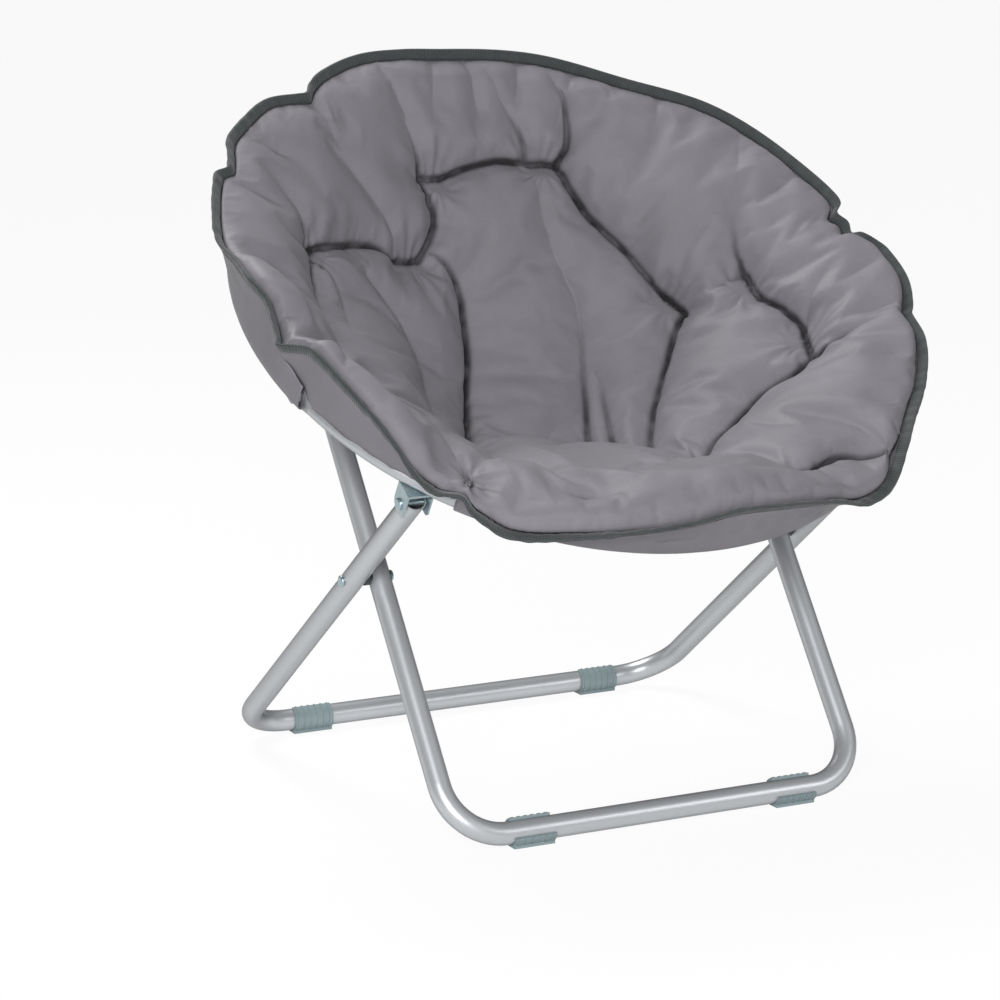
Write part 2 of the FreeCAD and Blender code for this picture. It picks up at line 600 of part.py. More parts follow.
def rim_binding():
    """The folded tape round the rim, as a flat band that leans outwards."""
    slope = math.radians(BINDING_SLOPE_DEG)
    down = Vector(-math.cos(slope), 0, -math.sin(slope))
    across = Vector(-math.sin(slope), 0, math.cos(slope))
    top = Vector(RIM_R, 0, 0)
    outline = [top, top + down * BINDING_WIDTH,
               top + down * BINDING_WIDTH + across * BINDING_THICKNESS, top + across * BINDING_THICKNESS]
    points = [RIM_CENTRE + X_AXIS * p.x + RIM_NORMAL * p.z for p in outline]
    face = Part.Face(Part.makePolygon(points + points[:1]))
    half = face.revolve(RIM_CENTRE, RIM_NORMAL, 180)
    other = half.copy()
    other.rotate(RIM_CENTRE, RIM_NORMAL, 180)
    return half.fuse(other).removeSplitter()


def sleeve_seam(from_deg, to_deg, from_r):
    """The sewn edge of a sleeve, a band that stands up from the tube to the underside of the seat."""
    shell_run = Vector(LIP_OUT + SHOULDER_IN, 0, LIP_UP - SHOULDER_UP).normalize()
    rise = Vector(-shell_run.z, 0, shell_run.x)
    reach = rise.dot(Vector(LIP_OUT, 0, LIP_UP)) - SEAM_GAP
    half = shell_run * (SEAM_THICKNESS / 2)
    outline = [rise * from_r - half, rise * from_r + half, rise * reach + half, rise * reach - half]
    turn = math.radians(from_deg)
    outward = X_AXIS * math.sin(turn) + HOOP_ALONG * math.cos(turn)
    points = [HOOP_CENTRE + outward * (HOOP_R + p.x) + HOOP_NORMAL * p.z for p in outline]
    face = Part.Face(Part.makePolygon(points + points[:1]))
    return face.revolve(HOOP_CENTRE, HOOP_NORMAL, from_deg - to_deg)


def sleeve(from_deg, to_deg):
    """A fabric tube round part of the hoop, with its sewn edge."""
    inner_r = HOOP_TUBE_R + SLEEVE_CLEARANCE
    outer_r = inner_r + SLEEVE_THICKNESS
    tube = hoop_ring(from_deg, to_deg, outer_r, inner_r)
    return tube.fuse(sleeve_seam(from_deg, to_deg, (inner_r + outer_r) / 2)).removeSplitter()


def rear_sleeve():
    """The sleeve round the rear part of the hoop, notched underneath for the rear brackets."""
    reach = hoop_angle(-FOLD_LINE_FORWARD + HINGE_FLAT_LENGTH + HINGE_TAPER_LENGTH)
    shape = sleeve(-reach, reach)
    for side, _ in SIDES:
        low = on_hoop_plane(side * FRONT_LEG_HALF_SPAN, REAR_PIVOT_ALONG, -BRACKET_PIVOT_DROP / 2 - WELD_SADDLE)
        notch = oriented_box(low, SLEEVE_NOTCH_HALF, SLEEVE_NOTCH_HALF, BRACKET_PIVOT_DROP / 2)
        shape = shape.cut(notch)
    return shape


def front_sleeve():
    """The sleeve round the front of the hoop, between the two front brackets."""
    inner_face = REAR_LEG_HALF_SPAN - LEG_R - BRACKET_SIDE_PLAY - BRACKET_SHEET
    start_x = inner_face - FRONT_SLEEVE_MARGIN
    reach = hoop_angle(-hoop_half_chord(start_x))
    return sleeve(reach, 360 - reach)


def build_nodes():
    """Every piece of the chair by its node name."""
    shell, cushion = seat_layers()
    nodes = {
        "front_leg_frame": leg_frame(FRONT_BAR, FRONT_LEG_DIRECTION, FRONT_LEG_HALF_SPAN, REAR_PIVOT),
        "rear_leg_frame": leg_frame(REAR_BAR, REAR_LEG_DIRECTION, REAR_LEG_HALF_SPAN, FRONT_PIVOT),
        "rear_hoop": hoop_part(1),
        "front_hoop": hoop_part(-1),
        "seat_cushion": cushion,
        "seat_shell": shell,
        "rim_binding": rim_binding(),
        "rear_sleeve": rear_sleeve(),
        "front_sleeve": front_sleeve(),
    }
    for side, name in SIDES:
        nodes["front_foot_" + name] = foot(FRONT_BAR, side * FRONT_FOOT_X, FRONT_FOOT_FACING_DEG)
        nodes["rear_foot_" + name] = foot(REAR_BAR, side * REAR_FOOT_X, REAR_FOOT_FACING_DEG)
        nodes["rear_bracket_" + name] = bracket(side, REAR_PIVOT, FRONT_LEG_HALF_SPAN)
        nodes["front_bracket_" + name] = bracket(side, FRONT_PIVOT, REAR_LEG_HALF_SPAN)
        nodes["rear_bracket_rivet_" + name] = bracket_rivet(side, REAR_PIVOT, FRONT_LEG_HALF_SPAN)
        nodes["front_bracket_rivet_" + name] = bracket_rivet(side, FRONT_PIVOT, REAR_LEG_HALF_SPAN)
        nodes["ring_hinge_rivet_" + name] = ring_hinge_rivet(side)
        nodes["ring_hinge_washer_" + name] = ring_hinge_washer(side)
        nodes["cross_rivet_" + name] = cross_rivet(side)
        nodes["cross_spacer_" + name] = cross_spacer(side)
        nodes["cross_head_" + name] = cross_head(side)
    return nodes


def main():
    os.makedirs("parts", exist_ok=True)
    for name, shape in build_nodes().items():
        shape.exportStep("parts/" + name + ".step")
        print("%-28s solids %d  valid %s  volume %.0f" % (name, len(shape.Solids), shape.isValid(), shape.Volume))


main()
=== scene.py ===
"""Looks of a folding saucer chair: fabric seat, tape, sleeves, and finishes for the tube frame.

Metres, +Z up, floor at Z = 0, the sitter faces -Y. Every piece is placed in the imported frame's axes.
"""
import math

import bmesh
import bpy
import numpy as np
from bpy.props import FloatProperty, FloatVectorProperty, IntProperty, PointerProperty
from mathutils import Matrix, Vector


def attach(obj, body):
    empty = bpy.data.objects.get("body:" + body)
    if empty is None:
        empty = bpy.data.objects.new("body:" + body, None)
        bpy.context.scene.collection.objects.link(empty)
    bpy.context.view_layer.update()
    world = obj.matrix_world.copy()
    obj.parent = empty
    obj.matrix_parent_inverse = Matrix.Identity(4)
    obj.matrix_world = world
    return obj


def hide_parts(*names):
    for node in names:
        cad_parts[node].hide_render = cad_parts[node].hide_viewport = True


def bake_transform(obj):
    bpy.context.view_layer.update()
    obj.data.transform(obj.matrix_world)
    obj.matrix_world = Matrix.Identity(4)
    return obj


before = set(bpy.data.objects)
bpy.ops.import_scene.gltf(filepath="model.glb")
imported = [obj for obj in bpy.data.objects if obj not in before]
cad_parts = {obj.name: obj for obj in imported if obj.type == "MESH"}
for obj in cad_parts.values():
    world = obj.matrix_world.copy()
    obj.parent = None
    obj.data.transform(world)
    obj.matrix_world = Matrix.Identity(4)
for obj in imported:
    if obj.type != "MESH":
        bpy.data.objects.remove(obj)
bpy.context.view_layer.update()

bl_info = {
    "name": "Folding saucer chair",
    "version": (1, 0, 0),
    "blender": (4, 5, 0),
    "location": "View3D > Sidebar > Saucer chair",
    "description": "Builds the padded seat and the finishes of a folding saucer chair",
    "category": "Object",
}

MM = 0.001

FRONT = "front_ring"


# ---- the seat's own coordinates: angle from the rear towards the sitter's left, radius, height ----
def slope_axes(tilt_deg):
    """Unit vectors of a plane that rises to the rear: up the slope, and square to it."""
    tilt = math.radians(tilt_deg)
    return np.array([0, math.cos(tilt), math.sin(tilt)]), np.array([0, -math.sin(tilt), math.cos(tilt)])


HOOP_TILT_DEG = 31.7
HOOP_UP_SLOPE, HOOP_SQUARE = slope_axes(HOOP_TILT_DEG)
HOOP_CENTRE = np.array([0, 0.017, 0.525])
SIDEWAYS = np.array([1.0, 0, 0])

# The hoop folds over a line up the slope from its centre, which meets the hoop at this angle. The
# shell lies off the hoop as near to that as the first of these degrees, and on it beyond the second.
HINGE_DEG = 104.4
HINGE_CLEAR_DEG = (1.8, 4.5)

# The raised roll at the front of the seat, in degrees: its middle, half the width of its full height, half
# its whole width, and half the width of its broad foot.
FRONT_ROLL = 200
ROLL_FULL_DEG = 5
ROLL_HALF_DEG = 36
BROAD_HALF_DEG = 62

# Radius and height of the place that the rim's edge leans away from.
LEAN_R = 0.364
LEAN_H = 0.008

# How far the shell, the cushion and the sleeves reach into the tape, and how far each lies beside its line.
SHELL_IN_TAPE = 0.004
SHELL_OFFSET = 0.001
FACE_IN_TAPE = 0.003
FACE_OFFSET = 0.0035
SLEEVE_IN_TAPE = 0.003
SLEEVE_OFFSET = 0.0008

# The cushion's underside lies this far inside the shell. On the bowl it is moved in sideways by this share of
# that, and at the bowl's top it is moved up by it.
LINING_GAP = 0.0035
SLOPE_SHARE = 0.6

# The shell from under the tape down to the bowl: radius and height beside the hoop's hinges, and how much
# both change where the cloth lies snug on the hoop. Then the bowl's top, the shares of its radius where its
# rows are, and the power that rounds it, where 1 would be a cone.
SHELL_RUN = ((0.376, 0.0195, 0.0035, -0.0120), (0.367, 0.0150, 0.004, -0.0045), (0.354, 0.010, 0.007, -0.003))
BOWL_TOP_R = 0.345
BOWL_TOP_H = 0.001
BOWL_PARTS = (0.92, 0.84, 0.74, 0.62, 0.5, 0.38, 0.26, 0.14, 0.06, 0.0)
BOWL_ROUNDING = 1.35

# The cushion's upper face inside the roll at its rim: radius and height, and how much both change at the
# front roll.
FACE_RUN = (
    (0.334, 0.031, -0.002, 0.004), (0.300, 0.009, 0, -0.006), (0.264, -0.018, 0, -0.012),
    (0.228, -0.048, 0, -0.010), (0.184, -0.083, 0, 0), (0.135, -0.117, 0, 0), (0.085, -0.145, 0, 0),
    (0.042, -0.163, 0, 0), (0.0, -0.170, 0, 0),
)

# A sleeve round the outside of the hoop to the shell, as radius and height. At a sleeve's ends the two rows
# above these come down to the places in SLEEVE_END, close to the hoop.
SLEEVE_END = ((0.3802, 0.0235), (0.3820, 0.0120))
SLEEVE_RUN = ((0.3815, 0.0025), (0.3785, -0.0070), (0.371, -0.0105), (0.3632, -0.0072), (0.3595, 0.0010),
              (0.3575, 0.0062))

# Rim edge: angle in degrees, how far out of round, and how far above or below the level rim, in mm.
RIM_WAVE = (
    (0, -4, 0), (16, -4, 0), (32, -10, -1), (48, 4, 1), (66, 0, 0), (74.5, -1, -1), (76.3, -4, -3),
    (77.7, -17, -5), (80, -11, -8), (82.3, -15, -11), (84, -12, -1), (87, -2, 1), (89, 3, 1), (96, 6, 0),
    (102.5, -3, -2), (104, -7, -2), (110, 0, 0), (121, -3, 0), (131, -6, 0), (138, 0, 0), (147, 13, -11),
    (153, 9, -11), (158, -2, 3), (163, -10, 12), (170, -15, 21), (178, -18, 24), (185, -12, 18),
    (195, -4, 6), (204, 6, -6), (213, 18, -17), (218, 12, -13), (219.6, 12, -6), (220.9, 10, 3),
    (223, 6, -3), (225, 4, -11), (227.5, 1, -10), (230, -3, -4), (233, -8, 8), (238, -14, 21),
    (245, -18, 30), (253, -18, 34), (256.5, -13, 22), (258.4, -4, 14), (260, -11, 14), (263, -17, 17),
    (267, -20, 23), (271, -11, 26), (278, -8, 14), (284, 1, 1), (293, 5, 0), (299, 8, 0), (300.4, 8, 0),
    (302.3, -2, 0), (304, 0, 0), (306, 4, 0), (308, 10, 0), (310, 13, 0), (315, 12, 0), (322, 9, 0),
    (328, -8, -3), (329.6, -12, -3), (331.5, -4, -2), (335, 3, 0), (344, 9, 0), (352, 3, 0),
)

# Short bars of stitches that pull the cushion in: both ends as angle in degrees and radius in mm, how deep
# they pull as a share of the creases' depth, and how far round them that is felt, in mm.
TACKS = {
    "top_right": ((-12, 274), (-6, 270), 1.2, 20), "top_left": ((16, 285), (22, 288), 1.2, 20),
    "back_right": ((-30, 212), (-21, 204), 1.2, 20), "back_left": ((61, 210), (71, 209), 1.2, 20),
    "side_right": ((-59, 281), (-56, 279), 1.2, 20), "side_left": ((75, 270), (83, 266), 1.2, 20),
    "arm_right": ((-106, 276), (-102, 276), 1.2, 20), "arm_left": ((97, 283), (107, 281), 1.2, 22),
    "corner": ((-139, 366), (-137, 354), 1.4, 24),
}

# Creases: strength from 0 to 1 at the start, in the middle and at the end, and the places they run through.
# A tack's name with 0 or 1 stands for the first or the second end of its bar.
CREASES = (
    (1.0, 0.8, 1.0, ("top_right 1", (-1, 277), (8, 284), "top_left 0")),
    (1.0, 0.9, 0.8, ("top_left 1", (31, 248), (45, 229), "back_left 0")),
    (0.9, 0.8, 1.0, ("top_right 0", (-12, 251), (-12, 230), "back_right 1")),
    (1.0, 1.0, 0.6, ("side_right 1", (-48, 259), (-37, 239), "back_right 0")),
    (0.5, 1.0, 0.9, ((-17, 206), (-11, 180), (-12, 150), (-20, 104), (-85, 70), (-125, 140))),
    (1.0, 0.7, 0.7, ("back_left 1", (74, 191), (91, 147), (108, 128), (138, 135))),
    (0.5, 0.2, 0.5, ("back_left 1", (73, 231), "side_left 0")),
    (1.0, 0.8, 1.0, ("side_left 1", (90, 276), "arm_left 0")),
    (0.9, 0.9, 0.5, ("arm_left 1", (112, 262), (114, 232), (126, 205), (135, 194), (156, 214))),
    (0.7, 0.4, 0.1, ("side_left 0", (69, 283), (64, 305), (60, 337))),
    (0.8, 0.4, 0.1, ("top_right 0", (-12, 307), (-13, 345))),
    (0.7, 0.3, 0.1, ("top_left 0", (12, 325), (8, 349), (6, 374))),
    (1.0, 0.8, 0.2, ("top_left 1", (24, 304), (24, 322), (22, 346), (19, 372))),
    (0.2, 0.3, 0.8, ((17, 266), (24, 205), (38, 164), (58, 100), (131, 67))),
    (0.2, 0.5, 0.7, ((62, 106), (80, 95), (132, 94))),
    (0.3, 0.1, 0.4, ((166, 26), (84, 50), (133, 65))),
    (0.5, 0.3, 0.1, ("back_right 0", (-29, 245), (-31, 274), (-34, 335))),
    (0.8, 0.5, 0.1, ("side_right 0", (-56, 296), (-53, 314), (-53, 354))),
    (0.7, 0.4, 0.1, ("side_right 0", (-62, 249), (-71, 239), (-82, 244))),
    (0.4, 0.3, 0.2, ((-48, 223), (-50, 169), (-66, 132), (-112, 171))),
    (0.8, 0.5, 0.3, ("side_right 0", (-80, 276), "arm_right 1")),
    (0.7, 0.5, 0.3, ("arm_right 0", (-128, 240), (-148, 226))),
    (0.6, 0.4, 0.1, ("arm_right 0", (-108, 330), (-112, 366))),
    (0.8, 0.4, 0.1, ("arm_left 1", (106, 322), (105, 366))),
    (0.4, 0.2, 0.1, ("arm_left 0", (92, 310), (88, 340))),
    (0.8, 1.0, 0.6, ((155, 326), (151, 338), (145, 348), (141, 384))),
    (1.0, 0.9, 1.0, ((-140, 388), "corner 0")),
    (0.6, 0.3, 0.1, ("corner 1", (-133, 325), (-128, 290))),
    (0.6, 0.3, 0.1, ("corner 0", (-145, 372), (-152, 376))),
    (0.1, 0.5, 0.1, ((-150, 344), (-157, 350), (-165, 340))),
)

# The pleats at the rim start at this radius in mm, and none is this near the front roll's middle, in degrees.
PLEAT_START = 388
PLAIN_HALF_DEG = 50


def on_hoop(radius, angle, above):
    """Points in the frame's axes for arrays of radius and height in metres and angle in radians."""
    radius, angle, above = (np.asarray(a, float)[..., None] for a in (radius, angle, above))
    flat = SIDEWAYS * np.sin(angle) + HOOP_UP_SLOPE * np.cos(angle)
    return HOOP_CENTRE + flat * radius + HOOP_SQUARE * above


def smooth_step(low, high, value):
    """0 below low, 1 above high, and a smooth rise between."""
    share = np.clip((np.asarray(value, float) - low) / (high - low), 0, 1)
    return share * share * (3 - 2 * share)


def glide(t, here, slope_here, after, slope_after):
    """A smooth curve from one value to the next, with its slope at each, for t from 0 to 1."""
    return ((2 * t ** 3 - 3 * t ** 2 + 1) * here + (t ** 3 - 2 * t ** 2 + t) * slope_here
            + (3 * t ** 2 - 2 * t ** 3) * after + (t ** 3 - t ** 2) * slope_after)


def round_trip(angle, stations, column):
    """A smooth closed curve through the stations' column, read at the angles in radians."""
    at = np.radians([s[0] for s in stations])
    value = np.array([s[column] for s in stations], float)
    slope = (np.roll(value, -1) - np.roll(value, 1)) / ((np.roll(at, -1) - np.roll(at, 1)) % (2 * math.pi))
    where = np.asarray(angle, float) % (2 * math.pi)
    index = (np.searchsorted(at, where, side="right") - 1) % len(at)
    after = (index + 1) % len(at)
    span = (at[after] - at[index]) % (2 * math.pi)
    t = ((where - at[index]) % (2 * math.pi)) / span
    return glide(t, value[index], span * slope[index], value[after], span * slope[after])


def rim_edge(angle, settings):
    """Radius and height of the rim's outer edge, and the direction in which the edge stands up."""
    radius = settings.rim_radius + round_trip(angle, RIM_WAVE, 1) * MM
    level = settings.rim_rise + settings.rim_rear_rise * np.cos(angle)
    above = level + round_trip(angle, RIM_WAVE, 2) * MM
    run, rise = radius - LEAN_R, above - LEAN_H
    length = np.hypot(run, rise)
    return radius, above, run / length, rise / length


def frontness(angle, half_width):
    """1 in the middle of the raised roll at the front of the seat, 0 beyond a half width in degrees."""
    off_roll = np.abs(np.degrees(np.asarray(angle, float)) % 360 - FRONT_ROLL)
    return 1 - smooth_step(ROLL_FULL_DEG, half_width, off_roll)


def rearness(angle):
    """1 round the rear of the seat, 0 round its front half."""
    return smooth_step(-0.1, 0.5, np.cos(angle))


def along_rows(rows, share):
    """Smooth curve through rows of (radius, height), each an array per point, read at shares from 0 to 1."""
    rows = [(np.broadcast_to(r, share.shape), np.broadcast_to(h, share.shape)) for r, h in rows]
    table = np.array(rows)
    steps = np.hypot(*(np.diff(table, axis=0).transpose(1, 0, 2)))
    reach = np.concatenate([np.zeros((1,) + share.shape), np.cumsum(steps, axis=0)])
    reach = reach / reach[-1]
    index = np.clip((reach <= share).sum(axis=0) - 1, 0, len(rows) - 2)
    pick = np.arange(share.size)

    def row(offset):
        return np.clip(index + offset, 0, len(rows) - 1)

    def knot(offset):
        return reach[row(offset), pick]

    t = (share - knot(0)) / np.maximum(knot(1) - knot(0), 1e-9)
    out = []
    for axis in (0, 1):
        before, here, after, later = (table[row(o), axis, pick] for o in (-1, 0, 1, 2))
        span = knot(1) - knot(0)
        slope_here = (after - before) / np.maximum(knot(1) - knot(-1), 1e-9) * span
        slope_after = (later - here) / np.maximum(knot(2) - knot(0), 1e-9) * span
        out.append(glide(t, here, slope_here, after, slope_after))
    return out


def bowl_height(radius, settings):
    """Height of the bowl's underside above the hoop's plane."""
    return -settings.bowl_depth * (1 - (radius / settings.bowl_radius) ** BOWL_ROUNDING)


def underside(angle, share, settings, inset):
    """Points of the seat's underside, from the rim at share 0 to the middle at share 1, moved in by inset."""
    radius, above, run, rise = rim_edge(angle, settings)
    tuck = settings.tape_width - SHELL_IN_TAPE
    off = SHELL_OFFSET + inset
    off_hinge = np.abs(np.abs((np.degrees(angle) + 180) % 360 - 180) - HINGE_DEG)
    snug = smooth_step(*HINGE_CLEAR_DEG, off_hinge)
    rows = [(radius - run * tuck - rise * off, above - rise * tuck + run * off)]
    rows += [(r + more_r * snug - inset, h + more_h * snug + inset) for r, h, more_r, more_h in SHELL_RUN]
    rows.append((BOWL_TOP_R - inset, BOWL_TOP_H + SLOPE_SHARE * inset))
    for part in BOWL_PARTS:
        r = settings.bowl_radius * part
        rows.append((max(r - SLOPE_SHARE * inset, 0.0), bowl_height(r, settings) + inset))
    r, h = along_rows(rows, share)
    return on_hoop(np.maximum(r, 0), angle, h)


def sitting_face(angle, share, settings):
    """Points of the cushion's upper face before it swells, from the rim at share 0 to its middle at 1."""
    radius, above, run, rise = rim_edge(angle, settings)
    front, broad, back = frontness(angle, ROLL_HALF_DEG), frontness(angle, BROAD_HALF_DEG), rearness(angle)
    tuck = settings.tape_width - FACE_IN_TAPE
    edge_r, edge_h = radius - run * tuck - rise * FACE_OFFSET, above - rise * tuck + run * FACE_OFFSET
    # The roll inside the tape is higher at the front and flatter at the rear.
    crest = (edge_r - 0.010 - 0.004 * front - 0.003 * back, edge_h + 0.012 + 0.004 * front - 0.012 * back)
    foot = (edge_r - 0.034, edge_h + 0.002 + 0.016 * broad - 0.006 * back)
    rows = [(edge_r, edge_h), crest, foot]
    rows += [(r + more_r * front, h + more_h * front) for r, h, more_r, more_h in FACE_RUN]
    r, h = along_rows(rows, share)
    return on_hoop(np.maximum(r, 0), angle, h)


def flat_place(place):
    """Sideways and up-slope offsets of a place, given by a tack's end or by its angle and radius."""
    if isinstance(place, str):
        name, end = place.split()
        place = TACKS[name][int(end)]
    angle, radius = math.radians(place[0]), place[1] * MM
    return np.array([radius * math.sin(angle), radius * math.cos(angle)])


def on_face(flat, settings, tries=241):
    """The point of the sitting face over a place given by its sideways and up-slope offsets."""
    shares = np.linspace(0, 1, tries)
    column = sitting_face(np.full(shares.shape, math.atan2(*flat)), shares, settings)
    reach = np.hypot(column[:, 0], (column - HOOP_CENTRE) @ HOOP_UP_SLOPE)
    return column[np.argmin(np.abs(reach - math.hypot(*flat)))]


def smooth_run(places, steps=5, rounds=3):
    """A smooth run of points through places: steps from each to the next, evened out in rounds."""
    corners = [flat_place(place) for place in places]
    shares = np.linspace(0, 1, steps, endpoint=False)
    run = [a * (1 - t) + b * t for a, b in zip(corners, corners[1:]) for t in shares]
    run = np.array(run + corners[-1:])
    for _ in range(rounds):
        run[1:-1] = (run[:-2] + 2 * run[1:-1] + run[2:]) / 4
    return run


def rim_pleats():
    """Short soft pleats where the cloth is gathered into the binding, written as creases are."""
    dice = np.random.default_rng(21)
    pleats = []
    angle = 3.0
    while angle < 360:
        length, strength, lean = dice.uniform(35, 90), dice.uniform(0.2, 0.42), dice.uniform(-5, 5)
        middle = (angle + 0.4 * lean, PLEAT_START - 0.5 * length)
        end = (angle + lean, PLEAT_START - length)
        if abs(angle - FRONT_ROLL) > PLAIN_HALF_DEG:
            pleats.append((0.4 * strength, strength, 0.05, ((angle, PLEAT_START), middle, end)))
        angle += dice.uniform(9, 19)
    return tuple(pleats)


def crease_points(settings):
    """Each crease as points on the sitting face, with its strength at each. The tacks' bars come last."""
    lines = []
    for start, middle, end, places in CREASES + rim_pleats():
        points = np.array([on_face(flat, settings) for flat in smooth_run(places)])
        lines.append((points, np.interp(np.linspace(0, 2, len(points)), (0, 1, 2), (start, middle, end))))
    for name in TACKS:
        points = np.array([on_face(flat, settings) for flat in smooth_run((name + " 0", name + " 1"))])
        lines.append((points, np.ones(len(points))))
    return lines


def nearest_on_line(points, line, strength):
    """Each point's distance to a line of points, the line's strength there, and the nearest place on it."""
    best = np.full(len(points), 1e9)
    power = np.zeros(len(points))
    place = np.zeros((len(points), 3))
    for a, b, s0, s1 in zip(line, line[1:], strength, strength[1:]):
        along = b - a
        t = np.clip(((points - a) @ along) / max(along @ along, 1e-12), 0, 1)
        foot = a + t[:, None] * along
        d = np.linalg.norm(points - foot, axis=1)
        nearer = d < best
        best = np.where(nearer, d, best)
        power = np.where(nearer, s0 + (s1 - s0) * t, power)
        place[nearer] = foot[nearer]
    return best, power, place


def settle_lines(lines, before, after, neighbours=6):
    """Carry each line of points from a face to the same face once it has moved."""
    moved = []
    for line, strength in lines:
        shift = []
        for point in line:
            away = np.linalg.norm(before - point, axis=1)
            near = np.argsort(away)[:neighbours]
            weight = 1 / (away[near] + MM)
            shift.append((after[near] - before[near]).T @ weight / weight.sum())
        moved.append((line + np.array(shift), strength))
    return moved


# ---- meshes ----
def new_piece(name, points, faces, smooth=True):
    """A mesh object from points and faces, in the scene's collection."""
    mesh = bpy.data.meshes.new(name)
    mesh.from_pydata([tuple(p) for p in points], [], [tuple(int(i) for i in f) for f in faces])
    mesh.validate()
    mesh.update()
    if smooth:
        mesh.shade_smooth()
    piece = bpy.data.objects.new(name, mesh)
    bpy.context.scene.collection.objects.link(piece)
    return piece


def grid_faces(rows, columns, closed, tube=False):
    """Faces of a grid of points, rows by columns: columns closed round if asked, rows too for a tube."""
    faces = []
    for row in range(rows if tube else rows - 1):
        below = (row + 1) % rows
        for column in range(columns if closed else columns - 1):
            onward = (column + 1) % columns
            faces.append((row * columns + column, row * columns + onward,
                          below * columns + onward, below * columns + column))
    return faces


def apply_all(piece):
    """Turn the piece's modifiers into its mesh."""
    depsgraph = bpy.context.evaluated_depsgraph_get()
    made = bpy.data.meshes.new_from_object(piece.evaluated_get(depsgraph), depsgraph=depsgraph)
    piece.modifiers.clear()
    old = piece.data
    piece.data = made
    bpy.data.meshes.remove(old)


def thicken(piece, thickness):
    """Give a sheet its thickness, half of it on each side."""
    solid = piece.modifiers.new("cloth thickness", "SOLIDIFY")
    solid.thickness = thickness
    solid.offset = 0
    apply_all(piece)
    piece.data.shade_smooth()


def across_fold(piece):
    """Bake the piece's placement into its mesh."""
    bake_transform(piece)


def square_disc(count):
    """A square grid squeezed into a disc: angle and radius from 0 to 1 of each point, and its faces."""
    line = np.linspace(-1, 1, count)
    a, b = np.meshgrid(line, line, indexing="ij")
    a, b = a.ravel(), b.ravel()
    steep = np.abs(a) > np.abs(b)
    radius = np.maximum(np.abs(a), np.abs(b))
    safe_a = np.where(steep, a, 1)
    safe_b = np.where(steep | (b == 0), 1, b)
    angle = np.where(steep, math.pi / 4 * b / safe_a + np.where(a < 0, math.pi, 0),
                     math.pi / 2 - math.pi / 4 * a / safe_b + np.where(b < 0, math.pi, 0))
    faces = [(r * count + c, r * count + c + 1, (r + 1) * count + c + 1, (r + 1) * count + c)
             for r in range(count - 1) for c in range(count - 1)]
    edge = ([(0, c) for c in range(count - 1)] + [(r, count - 1) for r in range(count - 1)]
            + [(count - 1, c) for c in range(count - 1, 0, -1)] + [(r, 0) for r in range(count - 1, 0, -1)])
    return angle, radius, faces, [r * count + c for r, c in edge]


def face_normals(points, faces):
    """Unit normals of points from the quads round them."""
    quads = np.array(faces)
    diagonal_a = points[quads[:, 2]] - points[quads[:, 0]]
    diagonal_b = points[quads[:, 3]] - points[quads[:, 1]]
    square = np.cross(diagonal_a, diagonal_b)
    total = np.zeros_like(points)
    for corner in range(4):
        np.add.at(total, quads[:, corner], square)
    return total / np.maximum(np.linalg.norm(total, axis=1), 1e-12)[:, None]


def gathers(angle, scale, seed):
    """An uneven ripple round the rim, from about -1 to 1. The scale multiplies the number of its waves."""
    dice = np.random.default_rng(seed)
    ripple = np.zeros_like(angle)
    for waves in (31, 43, 58, 74, 97):
        ripple += dice.uniform(0.4, 1.0) * np.sin(round(waves * scale) * angle + dice.uniform(0, 2 * math.pi))
    return ripple / 2.6


def shaded(colour, factor):
    """A colour made darker, or lighter with a factor above 1."""
    return tuple(min(part * factor, 1.0) for part in colour)


# ---- materials ----
class Value:
    """One output of a material's nodes, for use in sums."""

    def __init__(self, paint, socket):
        self.paint = paint
        self.socket = socket

    def maths(self, operation, other):
        return self.paint.node("ShaderNodeMath", {"operation": operation}, {0: self, 1: other})

    def __add__(self, other):
        return self.maths("ADD", other)

    __radd__ = __add__

    def __mul__(self, other):
        return self.maths("MULTIPLY", other)

    __rmul__ = __mul__

    def __sub__(self, other):
        return self.maths("SUBTRACT", other)

    def __rsub__(self, other):
        return (self * -1.0) + other

    def at_least(self, other):
        return self.maths("MAXIMUM", other)


